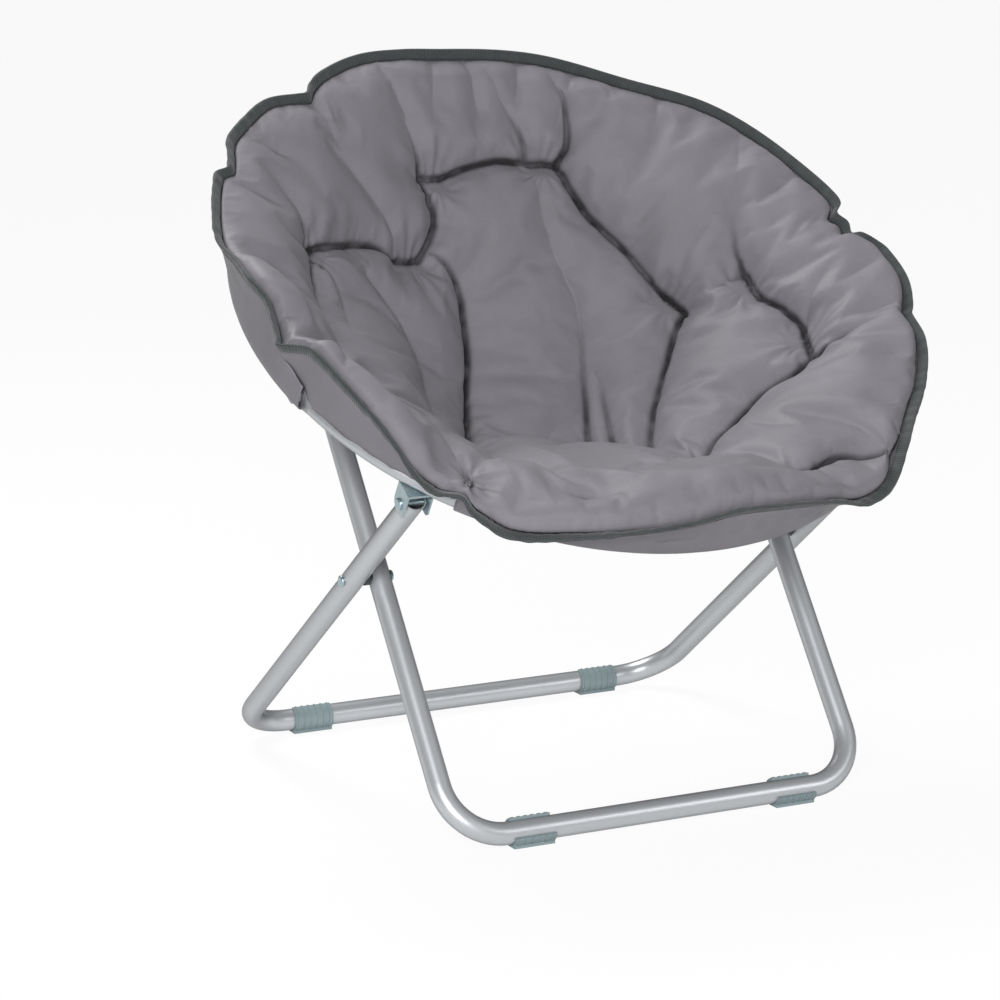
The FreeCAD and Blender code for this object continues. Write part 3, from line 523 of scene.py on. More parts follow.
class Paint:
    """A material under construction, or the sky, which is one of the worlds."""

    def __init__(self, name, kind="materials"):
        self.made = getattr(bpy.data, kind).new(name)
        self.made.use_nodes = True
        self.tree = self.made.node_tree
        self.tree.nodes.clear()

    def node(self, kind, settings=None, inputs=None, output=0):
        """Add a node: its settings first, then its inputs. Returns one of its outputs."""
        made = self.tree.nodes.new(kind)
        for name, value in (settings or {}).items():
            if name == "stops":
                self.set_stops(made.color_ramp, value)
            else:
                setattr(made, name, value)
        for name, value in (inputs or {}).items():
            self.feed(made.inputs[name], value)
        return Value(self, made.outputs[output])

    def set_stops(self, ramp, stops):
        """Place a ramp's stops, each a position and a grey level."""
        while len(ramp.elements) < len(stops):
            ramp.elements.new(1.0)
        for element, (position, level) in zip(ramp.elements, stops):
            element.position = position
            element.color = (level, level, level, 1)

    def feed(self, socket, value):
        """Link a value to a socket, or set the socket."""
        if isinstance(value, Value):
            self.tree.links.new(value.socket, socket)
        elif socket.type == "RGBA":
            socket.default_value = (*value, 1.0)
        else:
            socket.default_value = value

    def place(self):
        """The point on the piece, in metres."""
        return self.node("ShaderNodeTexCoord", output="Object")

    def stretched(self, scale):
        """The point on the piece, stretched by three numbers."""
        return self.node("ShaderNodeVectorMath", {"operation": "MULTIPLY"}, {0: self.place(), 1: scale})

    def noise(self, scale, detail, roughness, vector=None, distortion=0.0):
        """Soft noise, 0 to 1."""
        return self.node("ShaderNodeTexNoise", None,
                         {"Vector": vector or self.place(), "Scale": scale, "Detail": detail,
                          "Roughness": roughness, "Distortion": distortion})

    def ridges(self, scale, direction, vector=None):
        """Parallel ridges across one axis, 0 to 1."""
        return self.node("ShaderNodeTexWave", {"wave_type": "BANDS", "bands_direction": direction},
                         {"Vector": vector or self.place(), "Scale": scale, "Detail": 1.0}, output=1)

    def ramp(self, value, stops):
        """A curve through stops."""
        return self.node("ShaderNodeValToRGB", {"stops": stops}, {0: value})

    def tint(self, share, first, second):
        """Mix two colours."""
        return self.node("ShaderNodeMix", {"data_type": "RGBA"}, {0: share, 6: first, 7: second}, output=2)

    def relief(self, height, distance, strength, under=None):
        """A bump from a height."""
        inputs = {"Height": height, "Distance": distance, "Strength": strength}
        if under:
            inputs["Normal"] = under
        return self.node("ShaderNodeBump", None, inputs)

    def surface(self, **inputs):
        """Finish the material with a principled shader."""
        names = {key: key.replace("_", " ").title().replace("Ior", "IOR") for key in inputs}
        self.finish(self.node("ShaderNodeBsdfPrincipled", None,
                              {names[key]: value for key, value in inputs.items()}))
        return self.made

    def finish(self, shader, kind="ShaderNodeOutputMaterial"):
        """Connect a shader to the output."""
        end = self.tree.nodes.new(kind)
        self.tree.links.new(shader.socket, end.inputs["Surface"])


def seat_cloth(name, colour, crinkle):
    """Satin polyester: fine weave, faint uneven tone, small crinkles, painted shade deep in the creases."""
    paint = Paint(name)
    # The crease attribute, broken up by noise, is painted shade deep in the creases, and makes them rougher
    # too.
    crease = paint.node("ShaderNodeAttribute", {"attribute_name": "crease"}, output=2)
    crease = crease * paint.ramp(paint.noise(34.0, 2.0, 0.5), [(0.32, 0.55), (0.55, 1.0)])
    cloud = paint.noise(9.0, 4.0, 0.6)
    slub = paint.noise(1.0, 2.0, 0.5, paint.stretched((260.0, 260.0, 1900.0)))
    shade = paint.ramp(cloud * 0.75 + slub * 0.25, [(0.3, 0.0), (0.7, 1.0)])
    fold = paint.noise(16.0, 4.0, 0.55, distortion=1.8)
    weave = paint.ridges(700.0, "X") * 0.5 + paint.ridges(700.0, "Z") * 0.5
    coarse = paint.relief(fold, 3 * MM * crinkle, 0.35)
    fine = paint.relief(paint.noise(120.0, 4.0, 0.6, distortion=0.8), 0.8 * MM, 0.4, coarse)
    thread = paint.relief(weave, 0.2 * MM, 0.35, fine)
    tone = paint.tint(shade, shaded(colour, 0.88), shaded(colour, 1.10))
    # The colour of the painted shade deep in the creases.
    deep = (colour[0] * 0.05, colour[1] * 0.045, colour[2] * 0.05)
    rough = paint.ramp(cloud, [(0.2, 0.50), (0.8, 0.60)]) + crease * 0.35
    return paint.surface(base_color=paint.tint(crease * 0.96, tone, deep), roughness=rough,
                         sheen_weight=0.05, sheen_roughness=0.5, specular_ior_level=0.34, normal=thread)


def edge_tape(name, colour, length, rib=0.0016):
    """Woven binding tape of a length, with ribs across it and a row of stitches."""
    paint = Paint(name)
    flat = paint.node("ShaderNodeUVMap", {"uv_map": "tape"})
    ribs = paint.ridges(length / rib / 20 * math.pi, "X", flat)
    rows = paint.ridges(2.2, "Y", flat)
    fuzz = paint.noise(1400.0, 3.0, 0.6)
    worn = paint.noise(60.0, 3.0, 0.6)
    mask = paint.ramp(ribs * 0.5 + fuzz * 0.5, [(0.35, 0.0), (0.8, 1.0)])
    # This lighter colour serves both the random wear and the painted highlight on the tape's outer fold.
    light = shaded(colour, 1.9)
    tone = paint.tint(worn * 0.5, paint.tint(mask, shaded(colour, 0.55), colour), light)
    across = paint.node("ShaderNodeSeparateXYZ", None, {0: flat}, output=1)
    # The tape's outer fold is painted lighter: a painted highlight.
    painted_edge_highlight = paint.ramp(across, [(0.0, 1.0), (0.07, 0.0), (0.93, 0.0), (1.0, 1.0)])
    groove = paint.ramp(across, [(0.30, 0.0), (0.335, 1.0), (0.37, 0.0)])
    tone = paint.tint(painted_edge_highlight * 0.5, tone, light)
    # In its groove the tape is painted much darker: painted shade.
    tone = paint.tint(groove * 0.7, tone, shaded(colour, 0.3))
    bump = paint.relief(ribs * 0.6 + rows * 0.2 + fuzz * 0.4 - groove * 0.6, 0.7 * MM, 0.8)
    return paint.surface(base_color=tone, roughness=0.8, specular_ior_level=0.3, sheen_weight=0.2,
                         normal=bump)


def silver_paint(name, colour):
    """Silver powder coat on steel tube: sparkle, faint orange peel, scuffs, and a painted dark reflection at
    its sides.
    """
    paint = Paint(name)
    sparkle = paint.noise(2600.0, 2.0, 0.6)
    peel = paint.noise(420.0, 2.0, 0.5)
    scuff = paint.ramp(paint.noise(34.0, 6.0, 0.7), [(0.60, 0.0), (0.72, 1.0)])
    dark = shaded(colour, 0.90)
    tone = paint.tint(scuff * 0.35, paint.tint(sparkle, dark, shaded(colour, 1.08)), dark)
    # Towards the outline that the camera sees, the tube is painted darker: a painted dark reflection.
    side = paint.node("ShaderNodeLayerWeight", None, {"Blend": 0.5}, output=1)
    tone = paint.tint(paint.ramp(side, [(0.40, 0.0), (0.90, 0.85)]), tone, shaded(colour, 0.25))
    rough = paint.ramp(sparkle, [(0.2, 0.34), (0.8, 0.42)])
    bump = paint.relief(peel * 0.7 + sparkle * 0.3, 0.12 * MM, 0.6)
    return paint.surface(base_color=tone, metallic=0.6, roughness=rough, specular_ior_level=0.5, normal=bump)


def zinc_plate(name, colour):
    """Zinc plated sheet: cloudy, a little cold, with fine rolling lines."""
    paint = Paint(name)
    cloud = paint.noise(70.0, 5.0, 0.65)
    lines = paint.noise(60.0, 3.0, 0.5, paint.stretched((1.0, 30.0, 30.0)))
    cold = (colour[0] * 0.62, colour[1] * 0.80, colour[2] * 0.86)
    tone = paint.tint(paint.ramp(cloud, [(0.35, 0.0), (0.7, 1.0)]), cold, colour)
    rough = paint.ramp(cloud, [(0.2, 0.26), (0.8, 0.44)])
    bump = paint.relief(lines * 0.6 + cloud * 0.4, 0.2 * MM, 0.5)
    return paint.surface(base_color=tone, metallic=0.9, roughness=rough, normal=bump)


def moulded(name, colour, roughness):
    """Moulded plastic with a fine grain."""
    paint = Paint(name)
    grain = paint.noise(1500.0, 2.0, 0.5)
    cloud = paint.noise(60.0, 3.0, 0.5)
    tone = paint.tint(cloud, shaded(colour, 0.9), shaded(colour, 1.12))
    rough = paint.ramp(cloud, [(0.2, roughness - 0.05), (0.8, roughness + 0.05)])
    return paint.surface(base_color=tone, roughness=rough, specular_ior_level=0.4,
                         normal=paint.relief(grain, 0.1 * MM, 0.5))


def finish_nodes(names, material):
    """Put one material on CAD nodes."""
    for name in names:
        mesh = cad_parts[name].data
        mesh.materials.clear()
        mesh.materials.append(material)


def cad_names(*words):
    """CAD nodes whose names hold one of the words."""
    return [name for name in sorted(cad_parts) if any(word in name for word in words)]


# ---- settings ----
class SeatSettings(bpy.types.PropertyGroup):
    """Sizes and colours of the fabric seat."""
    rim_radius: FloatProperty(
        name="Rim radius", description="Radius of the seat's bound edge", default=0.4045, unit="LENGTH")
    rim_rise: FloatProperty(
        name="Rim rise", description="Height of the bound edge above the hoop", default=0.049, unit="LENGTH")
    rim_rear_rise: FloatProperty(
        name="Rear rise", description="How much higher the edge stands at the rear",
        default=0.018, unit="LENGTH")
    bowl_radius: FloatProperty(
        name="Bowl radius", description="Radius of the hanging bowl under the hoop",
        default=0.346, unit="LENGTH")
    bowl_depth: FloatProperty(
        name="Bowl depth", description="Depth of the bowl below the hoop", default=0.215, unit="LENGTH")
    tape_width: FloatProperty(
        name="Tape width", description="Width of the folded binding tape", default=0.014, unit="LENGTH")
    tape_thickness: FloatProperty(
        name="Tape thickness", description="Thickness of the bound edge", default=0.0052, unit="LENGTH")
    crease_depth: FloatProperty(
        name="Crease depth", description="How far the creases lie below the panels",
        default=0.019, unit="LENGTH")
    swell: FloatProperty(
        name="Swell", description="Most that the cushion swells between its tacks",
        default=0.026, unit="LENGTH")
    pressure: FloatProperty(name="Stuffing pressure", description="Pressure of the stuffing", default=4.0)
    grid: IntProperty(
        name="Cushion grid", description="Points along one side of the cushion's grid", default=161)
    cloth_colour: FloatVectorProperty(
        name="Fabric", description="Colour of the seat fabric", size=3, subtype="COLOR",
        default=(0.184, 0.176, 0.196))
    tape_colour: FloatVectorProperty(
        name="Tape", description="Colour of the binding tape", size=3, subtype="COLOR",
        default=(0.042, 0.048, 0.050))


class FrameSettings(bpy.types.PropertyGroup):
    """Colours of the tube frame and its fittings."""
    tube_colour: FloatVectorProperty(
        name="Tube", description="Colour of the painted tube", size=3, subtype="COLOR",
        default=(0.53, 0.55, 0.57))
    zinc_colour: FloatVectorProperty(
        name="Zinc", description="Colour of the plated brackets", size=3, subtype="COLOR",
        default=(0.52, 0.56, 0.57))
    foot_colour: FloatVectorProperty(
        name="Feet", description="Colour of the clip-on feet", size=3, subtype="COLOR",
        default=(0.225, 0.287, 0.300))
    spacer_colour: FloatVectorProperty(
        name="Spacer", description="Colour of the spacers", size=3, subtype="COLOR",
        default=(0.05, 0.055, 0.06))


class StageSettings(bpy.types.PropertyGroup):
    """Floor, light and camera."""
    floor_colour: FloatVectorProperty(
        name="Floor", description="Colour of the floor", size=3, subtype="COLOR", default=(0.86, 0.86, 0.86))
    key_power: FloatProperty(
        name="Key light", description="Power of the large lamp", default=110.0, unit="POWER")
    top_power: FloatProperty(
        name="Top light", description="Power of the lamp above the back", default=75.0, unit="POWER")
    side_power: FloatProperty(
        name="Side light", description="Power of the lamp on the other side", default=20.0, unit="POWER")
    sky: FloatProperty(name="Sky", description="Strength of the even light", default=0.22)
    lens: FloatProperty(name="Lens", description="Focal length", default=122.49, unit="CAMERA")


# ---- operators ----
class SAUCER_OT_tubes(bpy.types.Operator):
    """Silver powder coat on the leg frames and the hoop"""
    bl_idname = "saucer.tubes"
    bl_label = "Finish the tubes"

    def execute(self, context):
        colour = context.scene.saucer_frame.tube_colour
        finish_nodes(cad_names("leg_frame"), silver_paint("silver tube", colour))
        # The hoop gets a darker copy of the same silver paint: painted shade.
        finish_nodes(cad_names("_hoop"), silver_paint("silver hoop tube", shaded(colour, 0.86)))
        return {"FINISHED"}


class SAUCER_OT_fittings(bpy.types.Operator):
    """Zinc on brackets, rivets and washers, dark plastic on spacers"""
    bl_idname = "saucer.fittings"
    bl_label = "Finish the fittings"

    def execute(self, context):
        colours = context.scene.saucer_frame
        plate = zinc_plate("zinc plate", colours.zinc_colour)
        finish_nodes(cad_names("bracket", "rivet", "washer", "cross_head"), plate)
        finish_nodes(cad_names("spacer"), moulded("spacer plastic", colours.spacer_colour, 0.5))
        return {"FINISHED"}


class SAUCER_OT_feet(bpy.types.Operator):
    """Grey-green moulded plastic on the feet"""
    bl_idname = "saucer.feet"
    bl_label = "Finish the feet"

    def execute(self, context):
        colour = context.scene.saucer_frame.foot_colour
        finish_nodes(cad_names("_foot_"), moulded("foot plastic", colour, 0.55))
        return {"FINISHED"}


class SAUCER_OT_shell(bpy.types.Operator):
    """The fabric bowl under the cushion"""
    bl_idname = "saucer.shell"
    bl_label = "Make the shell"

    def execute(self, context):
        seat = context.scene.saucer_seat
        around, down = 300, 56
        angle = np.linspace(0, 2 * math.pi, around, endpoint=False)
        rows = []
        # The rows end just short of the middle, which one more point closes.
        for share in np.linspace(0, 0.985, down):
            fade = float(1 - smooth_step(0.05, 0.5, share)) * min(share * 25, 1)
            ripple = gathers(angle, 1.0, 5) * 1.6 * MM * fade
            points = underside(angle, np.full(around, share), seat, 0.0)
            rows.append(points - HOOP_SQUARE * ripple[:, None])
        points = np.concatenate(rows + [rows[-1].mean(axis=0)[None]])
        faces = grid_faces(down, around, True)
        last = (down - 1) * around
        faces += [(last + i, last + (i + 1) % around, down * around) for i in range(around)]
        shell = new_piece("seat_shell_cloth", points, faces)
        thicken(shell, 1.1 * MM)
        shell.data.materials.append(seat_cloth("shell cloth", shaded(seat.cloth_colour, 0.86), 0.7))
        across_fold(shell)
        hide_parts("seat_shell")
        return {"FINISHED"}


# How the cushion's upper face is drawn down, in metres: how far from a crease it still slopes down to it, how
# near to a crease or a tack it is held fast and where it is free again, and the height of its small wrinkles.
CREASE_REACH = 0.017
CREASE_HELD = (0.003, 0.0075)
TACK_HELD = (0.004, 0.009)
RIM_WRINKLE = 0.0018
STAR_WRINKLE = 0.0026

# The underside ends at this share of the way out to the rim's edge. The upper face is held fast beyond this
# share of its own radius.
UNDER_PART = 0.95
RIM_HELD = 0.995


class SAUCER_OT_cushion(bpy.types.Operator):
    """The padded, tacked and creased cushion"""
    bl_idname = "saucer.cushion"
    bl_label = "Make the cushion"

    def execute(self, context):
        seat = context.scene.saucer_seat
        angle, radius, faces, edge = square_disc(seat.grid)
        face = sitting_face(angle, 1 - radius, seat)
        normal = face_normals(face, faces)
        if (normal @ HOOP_SQUARE).mean() < 0:
            faces = [corners[::-1] for corners in faces]
            normal = -normal
        lines = crease_points(seat)
        top, hold = draw_down(face, normal, angle, radius, lines, seat)
        count = len(top)
        under_angle, under_radius, under_faces, under_edge = square_disc((seat.grid + 1) // 2)
        bottom = underside(under_angle, 1 - under_radius * UNDER_PART, seat, LINING_GAP)
        points = np.concatenate([top, bottom])
        faces = faces + joined_faces(edge, under_faces, under_edge, count)
        cushion = new_piece("seat_cushion_padded", points, faces)
        face_outward(cushion)
        pins = np.ones(len(points))
        pins[:count] = np.maximum(hold, (radius > RIM_HELD).astype(float))
        most = np.full(len(points), seat.swell)
        # The cushion swells less near its rim at the rear.
        most[:count] *= 1 - 0.8 * rearness(angle) * smooth_step(0.78, 0.97, radius)
        swell_cushion(cushion, pins, points, most, seat.pressure)
        lines = settle_lines(lines, face, mesh_points(cushion)[:count])
        smooth = cushion.modifiers.new("finer", "SUBSURF")
        smooth.levels = smooth.render_levels = 1
        apply_all(cushion)
        sharpen_creases(cushion, lines)
        cushion.data.shade_smooth()
        cushion.data.materials.append(seat_cloth("cushion cloth", seat.cloth_colour, 1.0))
        across_fold(cushion)
        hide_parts("seat_cushion")
        return {"FINISHED"}


def draw_down(face, normal, angle, radius, lines, seat):
    """Pull the face down at its creases and tacks. Returns its points and how firmly each is held, 0 to 1."""
    drawn = np.zeros(len(face))
    hold = np.zeros(len(face))
    for line, strength in lines:
        distance, power, _ = nearest_on_line(face, line, strength)
        drawn = np.maximum(drawn, power * np.exp(-(distance / CREASE_REACH) ** 1.3))
        hold = np.maximum(hold, power * (1 - smooth_step(*CREASE_HELD, distance)))
    rim = (1 - smooth_step(0.05, 0.40, 1 - radius)) * smooth_step(0.02, 0.10, 1 - radius)
    wrinkle = gathers(angle, 0.6, 3) * RIM_WRINKLE * rim * (1 - 0.75 * frontness(angle, 55))
    for number, name in enumerate(TACKS):
        away, turn = from_tack(face, name)
        depth, reach = TACKS[name][2:]
        drawn = np.maximum(drawn, depth * np.exp(-(away / MM / reach) ** 1.5))
        hold = np.maximum(hold, 1 - smooth_step(*TACK_HELD, away))
        star = np.cos(6 * turn + number * 2.0) + 0.6 * np.cos(10 * turn + number * 5.0)
        wrinkle += STAR_WRINKLE / depth * star * np.exp(-away / 0.05) * smooth_step(0.004, 0.03, away)
    return face + normal * (wrinkle - seat.crease_depth * drawn)[:, None], hold


def joined_faces(edge, under_faces, under_edge, count):
    """Faces of the underside, whose points come after count others, and of the seam round both edges."""
    joined = [tuple(count + i for i in corners) for corners in under_faces]
    for number, here in enumerate(under_edge):
        onward = under_edge[(number + 1) % len(under_edge)]
        fine = [edge[(2 * number + step) % len(edge)] for step in (0, 1, 2)]
        joined.append((*fine, count + onward, count + here))
    return joined


def face_outward(piece):
    """Turn all faces of a closed piece outward."""
    shape = bmesh.new()
    shape.from_mesh(piece.data)
    bmesh.ops.recalc_face_normals(shape, faces=shape.faces)
    shape.to_mesh(piece.data)
    shape.free()


def from_tack(points, name):
    """Distance of points from a tack's bar, seen square to the hoop, and their direction from its middle."""
    first, last = flat_place(name + " 0"), flat_place(name + " 1")
    offset = points - HOOP_CENTRE
    flat = np.stack([offset[:, 0], offset @ HOOP_UP_SLOPE], axis=1)
    bar = last - first
    share = np.clip((flat - first) @ bar / (bar @ bar), 0, 1)
    off = flat - first - share[:, None] * bar
    middle = flat - (first + last) / 2
    return np.linalg.norm(off, axis=1), np.arctan2(middle[:, 0], middle[:, 1])


def mesh_points(piece, name="co"):
    """The piece's points as an array, or their normals."""
    flat = np.empty(len(piece.data.vertices) * 3)
    piece.data.vertices.foreach_get(name, flat)
    return flat.reshape(-1, 3)


# A face or a point of the cushion is on its upper side where its unit normal goes further up than this.
UPWARD = 0.1


def refine_near(piece, lines, reach):
    """Split the piece's upper faces once more where they lie near the lines."""
    shape = bmesh.new()
    shape.from_mesh(piece.data)
    points = mesh_points(piece)
    near = np.zeros(len(points), bool)
    for line, strength in lines:
        near |= nearest_on_line(points, line, strength)[0] < reach
    shape.verts.ensure_lookup_table()
    up = Vector(HOOP_SQUARE)
    faces = [face for face in shape.faces
             if face.normal.dot(up) > UPWARD and any(near[v.index] for v in face.verts)]
    edges = list({edge for face in faces for edge in face.edges})
    bmesh.ops.subdivide_edges(shape, edges=edges, cuts=1, use_grid_fill=True, smooth=0.0)
    shape.to_mesh(piece.data)
    shape.free()


# A crease up close, in metres: how near to it the mesh is made finer, how far round it the cloth is gathered
# in, how wide and how deep its groove is, and how high the pleats at a tack are.
FINE_REACH = 0.009
GATHER_REACH = 0.011
GROOVE_WIDTH = 0.0030
GROOVE_DEPTH = 0.007
TACK_PLEAT = 0.0016


def sharpen_creases(cushion, lines):
    """Gather the cloth sideways into each crease, sink it there, and pleat it at the tacks."""
    refine_near(cushion, lines, FINE_REACH)
    mesh = cushion.data
    points = mesh_points(cushion)
    facing = mesh_points(cushion, "normal")
    upper = facing @ HOOP_SQUARE > UPWARD
    shade = np.zeros(len(points))
    sink = np.zeros(len(points))
    gather = np.zeros_like(points)
    for line, strength in lines:
        distance, power, place = nearest_on_line(points, line, strength)
        share = np.clip(distance / GATHER_REACH, 1e-6, 1)
        pull = (1 - share ** (0.9 * power)) * upper
        stronger = pull > np.linalg.norm(gather, axis=1) / np.maximum(distance, 1e-9)
        gather = np.where(stronger[:, None], (place - points) * pull[:, None], gather)
        left = distance * (1 - pull)
        sink = np.maximum(sink, power ** 1.6 * np.exp(-(left / GROOVE_WIDTH) ** 1.3) * upper)
        # Only the stronger creases get painted shade, the strongest the widest.
        width = 0.0010 + 0.0030 * power
        shade = np.maximum(shade, smooth_step(0.25, 0.8, power) * np.exp(-(left / width) ** 1.6) * upper)
    pleat = np.zeros(len(points))
    for name in TACKS:
        away, turn = from_tack(points, name)
        fade = np.exp(-away / 0.022) * smooth_step(0.003, 0.010, away)
        pleat += TACK_PLEAT * np.cos(12 * turn) * fade * upper
    points += gather + facing * (pleat - GROOVE_DEPTH * sink)[:, None]
    mesh.vertices.foreach_set("co", points.ravel())
    mesh.update()
    # The crease attribute carries this painted shade to the cloth's colour.
    layer = mesh.attributes.new("crease", "FLOAT", "POINT")
    layer.data.foreach_set("value", shade)


# The cloth that holds the filling, as the cloth simulation names its settings.
FILLING = {
    "vertex_group_mass": "held", "quality": 5, "mass": 0.25,
    "tension_stiffness": 12, "compression_stiffness": 6, "shear_stiffness": 4, "bending_stiffness": 1.5,
    "tension_damping": 8, "compression_damping": 8, "bending_damping": 0.6, "air_damping": 2.0,
    "pin_stiffness": 2.0, "shrink_min": -0.018, "use_pressure": True,
}
SWELL_FRAMES = 20


def swell_cushion(cushion, pins, start, most, pressure):
    """Fill the cushion: its face swells between the pinned creases and tacks, each point by its own most."""
    group = cushion.vertex_groups.new(name="held")
    for index, weight in enumerate(pins):
        if weight > 0.02:
            group.add([index], float(weight), "REPLACE")
    cloth = cushion.modifiers.new("filling", "CLOTH")
    for name, value in FILLING.items():
        setattr(cloth.settings, name, value)
    cloth.settings.uniform_pressure_force = pressure
    cloth.settings.effector_weights.gravity = 0
    cloth.collision_settings.use_collision = False
    cloth.collision_settings.use_self_collision = False
    cloth.point_cache.frame_start = 1
    cloth.point_cache.frame_end = SWELL_FRAMES
    scene = bpy.context.scene
    for number in range(1, SWELL_FRAMES + 1):
        scene.frame_set(number)
    settled = cushion.evaluated_get(bpy.context.evaluated_depsgraph_get())
    shift = mesh_points(settled) - start
    far = np.linalg.norm(shift, axis=1)
    shift *= (np.minimum(far, most) / np.maximum(far, 1e-9))[:, None]
    cushion.modifiers.clear()
    cushion.vertex_groups.clear()
    cushion.data.vertices.foreach_set("co", (start + shift).ravel())
    cushion.data.update()
    scene.frame_set(1)


# The tape's length round the rim, in metres.
TAPE_LENGTH = 2.54


class SAUCER_OT_binding(bpy.types.Operator):
    """The tape folded over the seat's edge"""
    bl_idname = "saucer.binding"
    bl_label = "Bind the rim"

    def execute(self, context):
        seat = context.scene.saucer_seat
        around, corners = 900, 12
        angle = np.linspace(0, 2 * math.pi, around, endpoint=False)
        radius, above, run, rise = rim_edge(angle, seat)
        ripple = gathers(angle, 1.6, 11) * 0.7 * MM
        half_wide, half_thick = seat.tape_width / 2, seat.tape_thickness / 2
        points = []
        for corner in range(corners):
            turn = 2 * math.pi * corner / corners
            # Powers below 1 make the tape's round section nearly square at its ends.
            out = half_wide * math.copysign(abs(math.cos(turn)) ** 0.35, math.cos(turn))
            up = half_thick * math.copysign(abs(math.sin(turn)) ** 0.8, math.sin(turn))
            flange = out - half_wide
            lift = up + half_thick * 0.6 + ripple * (1 if up > 0 else -1)
            edge_r, edge_h = radius + run * flange - rise * lift, above + rise * flange + run * lift
            points.append(on_hoop(edge_r, angle, edge_h))
        points = np.array(points).reshape(-1, 3)
        tape = new_piece("rim_binding_tape", points, grid_faces(corners, around, True, tube=True))
        lay_tape_out(tape, around, corners)
        tape.data.materials.append(edge_tape("binding tape", seat.tape_colour, TAPE_LENGTH))
        across_fold(tape)
        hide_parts("rim_binding")
        return {"FINISHED"}


def lay_tape_out(tape, around, corners):
    """The tape's places, along it and across it, from 0 to 1."""
    layer = tape.data.uv_layers.new(name="tape")
    for polygon in tape.data.polygons:
        for loop in polygon.loop_indices:
            index = tape.data.loops[loop].vertex_index
            along = index % around
            if polygon.index % around == around - 1 and along == 0:
                along = around
            layer.data[loop].uv = (along / around, (index // around) / corners)


# In degrees, the sleeves' ends, the width of their faces, and the stretches over which their second row and
# their top edge come down to the hoop. Then the notches for the rear brackets: half their width, and where
# each is, sideways and up the slope.
REAR_SLEEVE = (-106.6, 106.6)
FRONT_SLEEVE = (137.5, 222.5)
SLEEVE_STEP_DEG = 0.65
SLEEVE_FLUSH_DEG = 5.0
SLEEVE_DROP_DEG = 9.0
NOTCH_HALF = 0.019
NOTCHES = ((0.25, 0.274), (-0.25, 0.274))


def sleeve_sheet(name, first_deg, last_deg, notches, seat):
    """A strip of cloth from under the tape, round the outside of the hoop, to the shell."""
    around = int(abs(last_deg - first_deg) / SLEEVE_STEP_DEG) + 1
    across = 26
    degrees = np.linspace(first_deg, last_deg, around)
    angle = np.radians(degrees)
    radius, above, run, rise = rim_edge(angle, seat)
    tuck = seat.tape_width - SLEEVE_IN_TAPE
    from_end = np.minimum(degrees - first_deg, last_deg - degrees)
    flush = 1 - smooth_step(0.0, SLEEVE_FLUSH_DEG, from_end)
    drop = 1 - smooth_step(0.0, SLEEVE_DROP_DEG, from_end)
    top_r, top_h = radius - run * tuck + rise * SLEEVE_OFFSET, above - rise * tuck - run * SLEEVE_OFFSET
    # Below the tape the sleeve bulges between the leaning edge and the hoop.
    full_r, full_h = (radius - run * 0.02) * 0.45 + 0.384 * 0.55, (above - 0.015) * 0.5 + 0.006
    (end_r, end_h), (next_r, next_h) = SLEEVE_END
    rows = [(top_r + (end_r - top_r) * drop, top_h + (end_h - top_h) * drop),
            (full_r + (next_r - full_r) * flush, full_h + (next_h - full_h) * flush),
            *SLEEVE_RUN]
    points = []
    for share in np.linspace(0, 1, across):
        r, h = along_rows(rows, np.full(around, share))
        ripple = gathers(angle, 0.9, 17) * 1.8 * MM * math.sin(math.pi * min(share * 1.9, 1)) ** 2
        points.append(on_hoop(r + np.maximum(ripple, -0.4 * MM), angle, h))
    points = np.array(points).reshape(-1, 3)
    kept = [face for face in grid_faces(across, around, False)
            if not in_notch(points[list(face)].mean(axis=0) - HOOP_CENTRE, notches)]
    piece = new_piece(name, points, kept)
    thicken(piece, 0.9 * MM)
    piece.data.materials.append(seat_cloth(name + " cloth", shaded(seat.cloth_colour, 0.9), 0.8))
    # The cloth runs a little outside the hoop's middle line.
    return piece


def in_notch(place, notches):
    """Whether a place, seen from the hoop's centre, lies below the hoop in a notch for a bracket."""
    x, up_slope = place[0], place @ HOOP_UP_SLOPE
    beside = any(abs(x - nx) < NOTCH_HALF and abs(up_slope - ny) < NOTCH_HALF for nx, ny in notches)
    return beside and place @ HOOP_SQUARE < 0.0


class SAUCER_OT_sleeves(bpy.types.Operator):
    """The cloth sleeves that hold the hoop"""
    bl_idname = "saucer.sleeves"
    bl_label = "Make the sleeves"

    def execute(self, context):
        seat = context.scene.saucer_seat
        rear = sleeve_sheet("rear_sleeve_cloth", *REAR_SLEEVE, NOTCHES, seat)
        across_fold(rear)
        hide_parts("rear_sleeve")
        front = sleeve_sheet("front_sleeve_cloth", *FRONT_SLEEVE, [], seat)
        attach(front, FRONT)
        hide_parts("front_sleeve")
        return {"FINISHED"}


# Half the floor's side, and the lamps: place, width, and the setting that holds their power.
FLOOR_HALF = 30
LAMPS = {
    "key": ((-2.0, -3.0, 1.6), 1.4, "key_power"),
    "top": ((-0.5, 1.6, 2.9), 1.5, "top_power"),
    "side": ((1.8, -2.6, 1.5), 1.4, "side_power"),
}
LAMPS_AIM = Vector((0, 0, 0.45))

# The camera's place, and how far round from the front and how far up from level it stands, in degrees.
CAMERA_PLACE = (-1.75066, -3.2580, 1.1071)
CAMERA_TURN = -26.98
CAMERA_TIP = 12.07


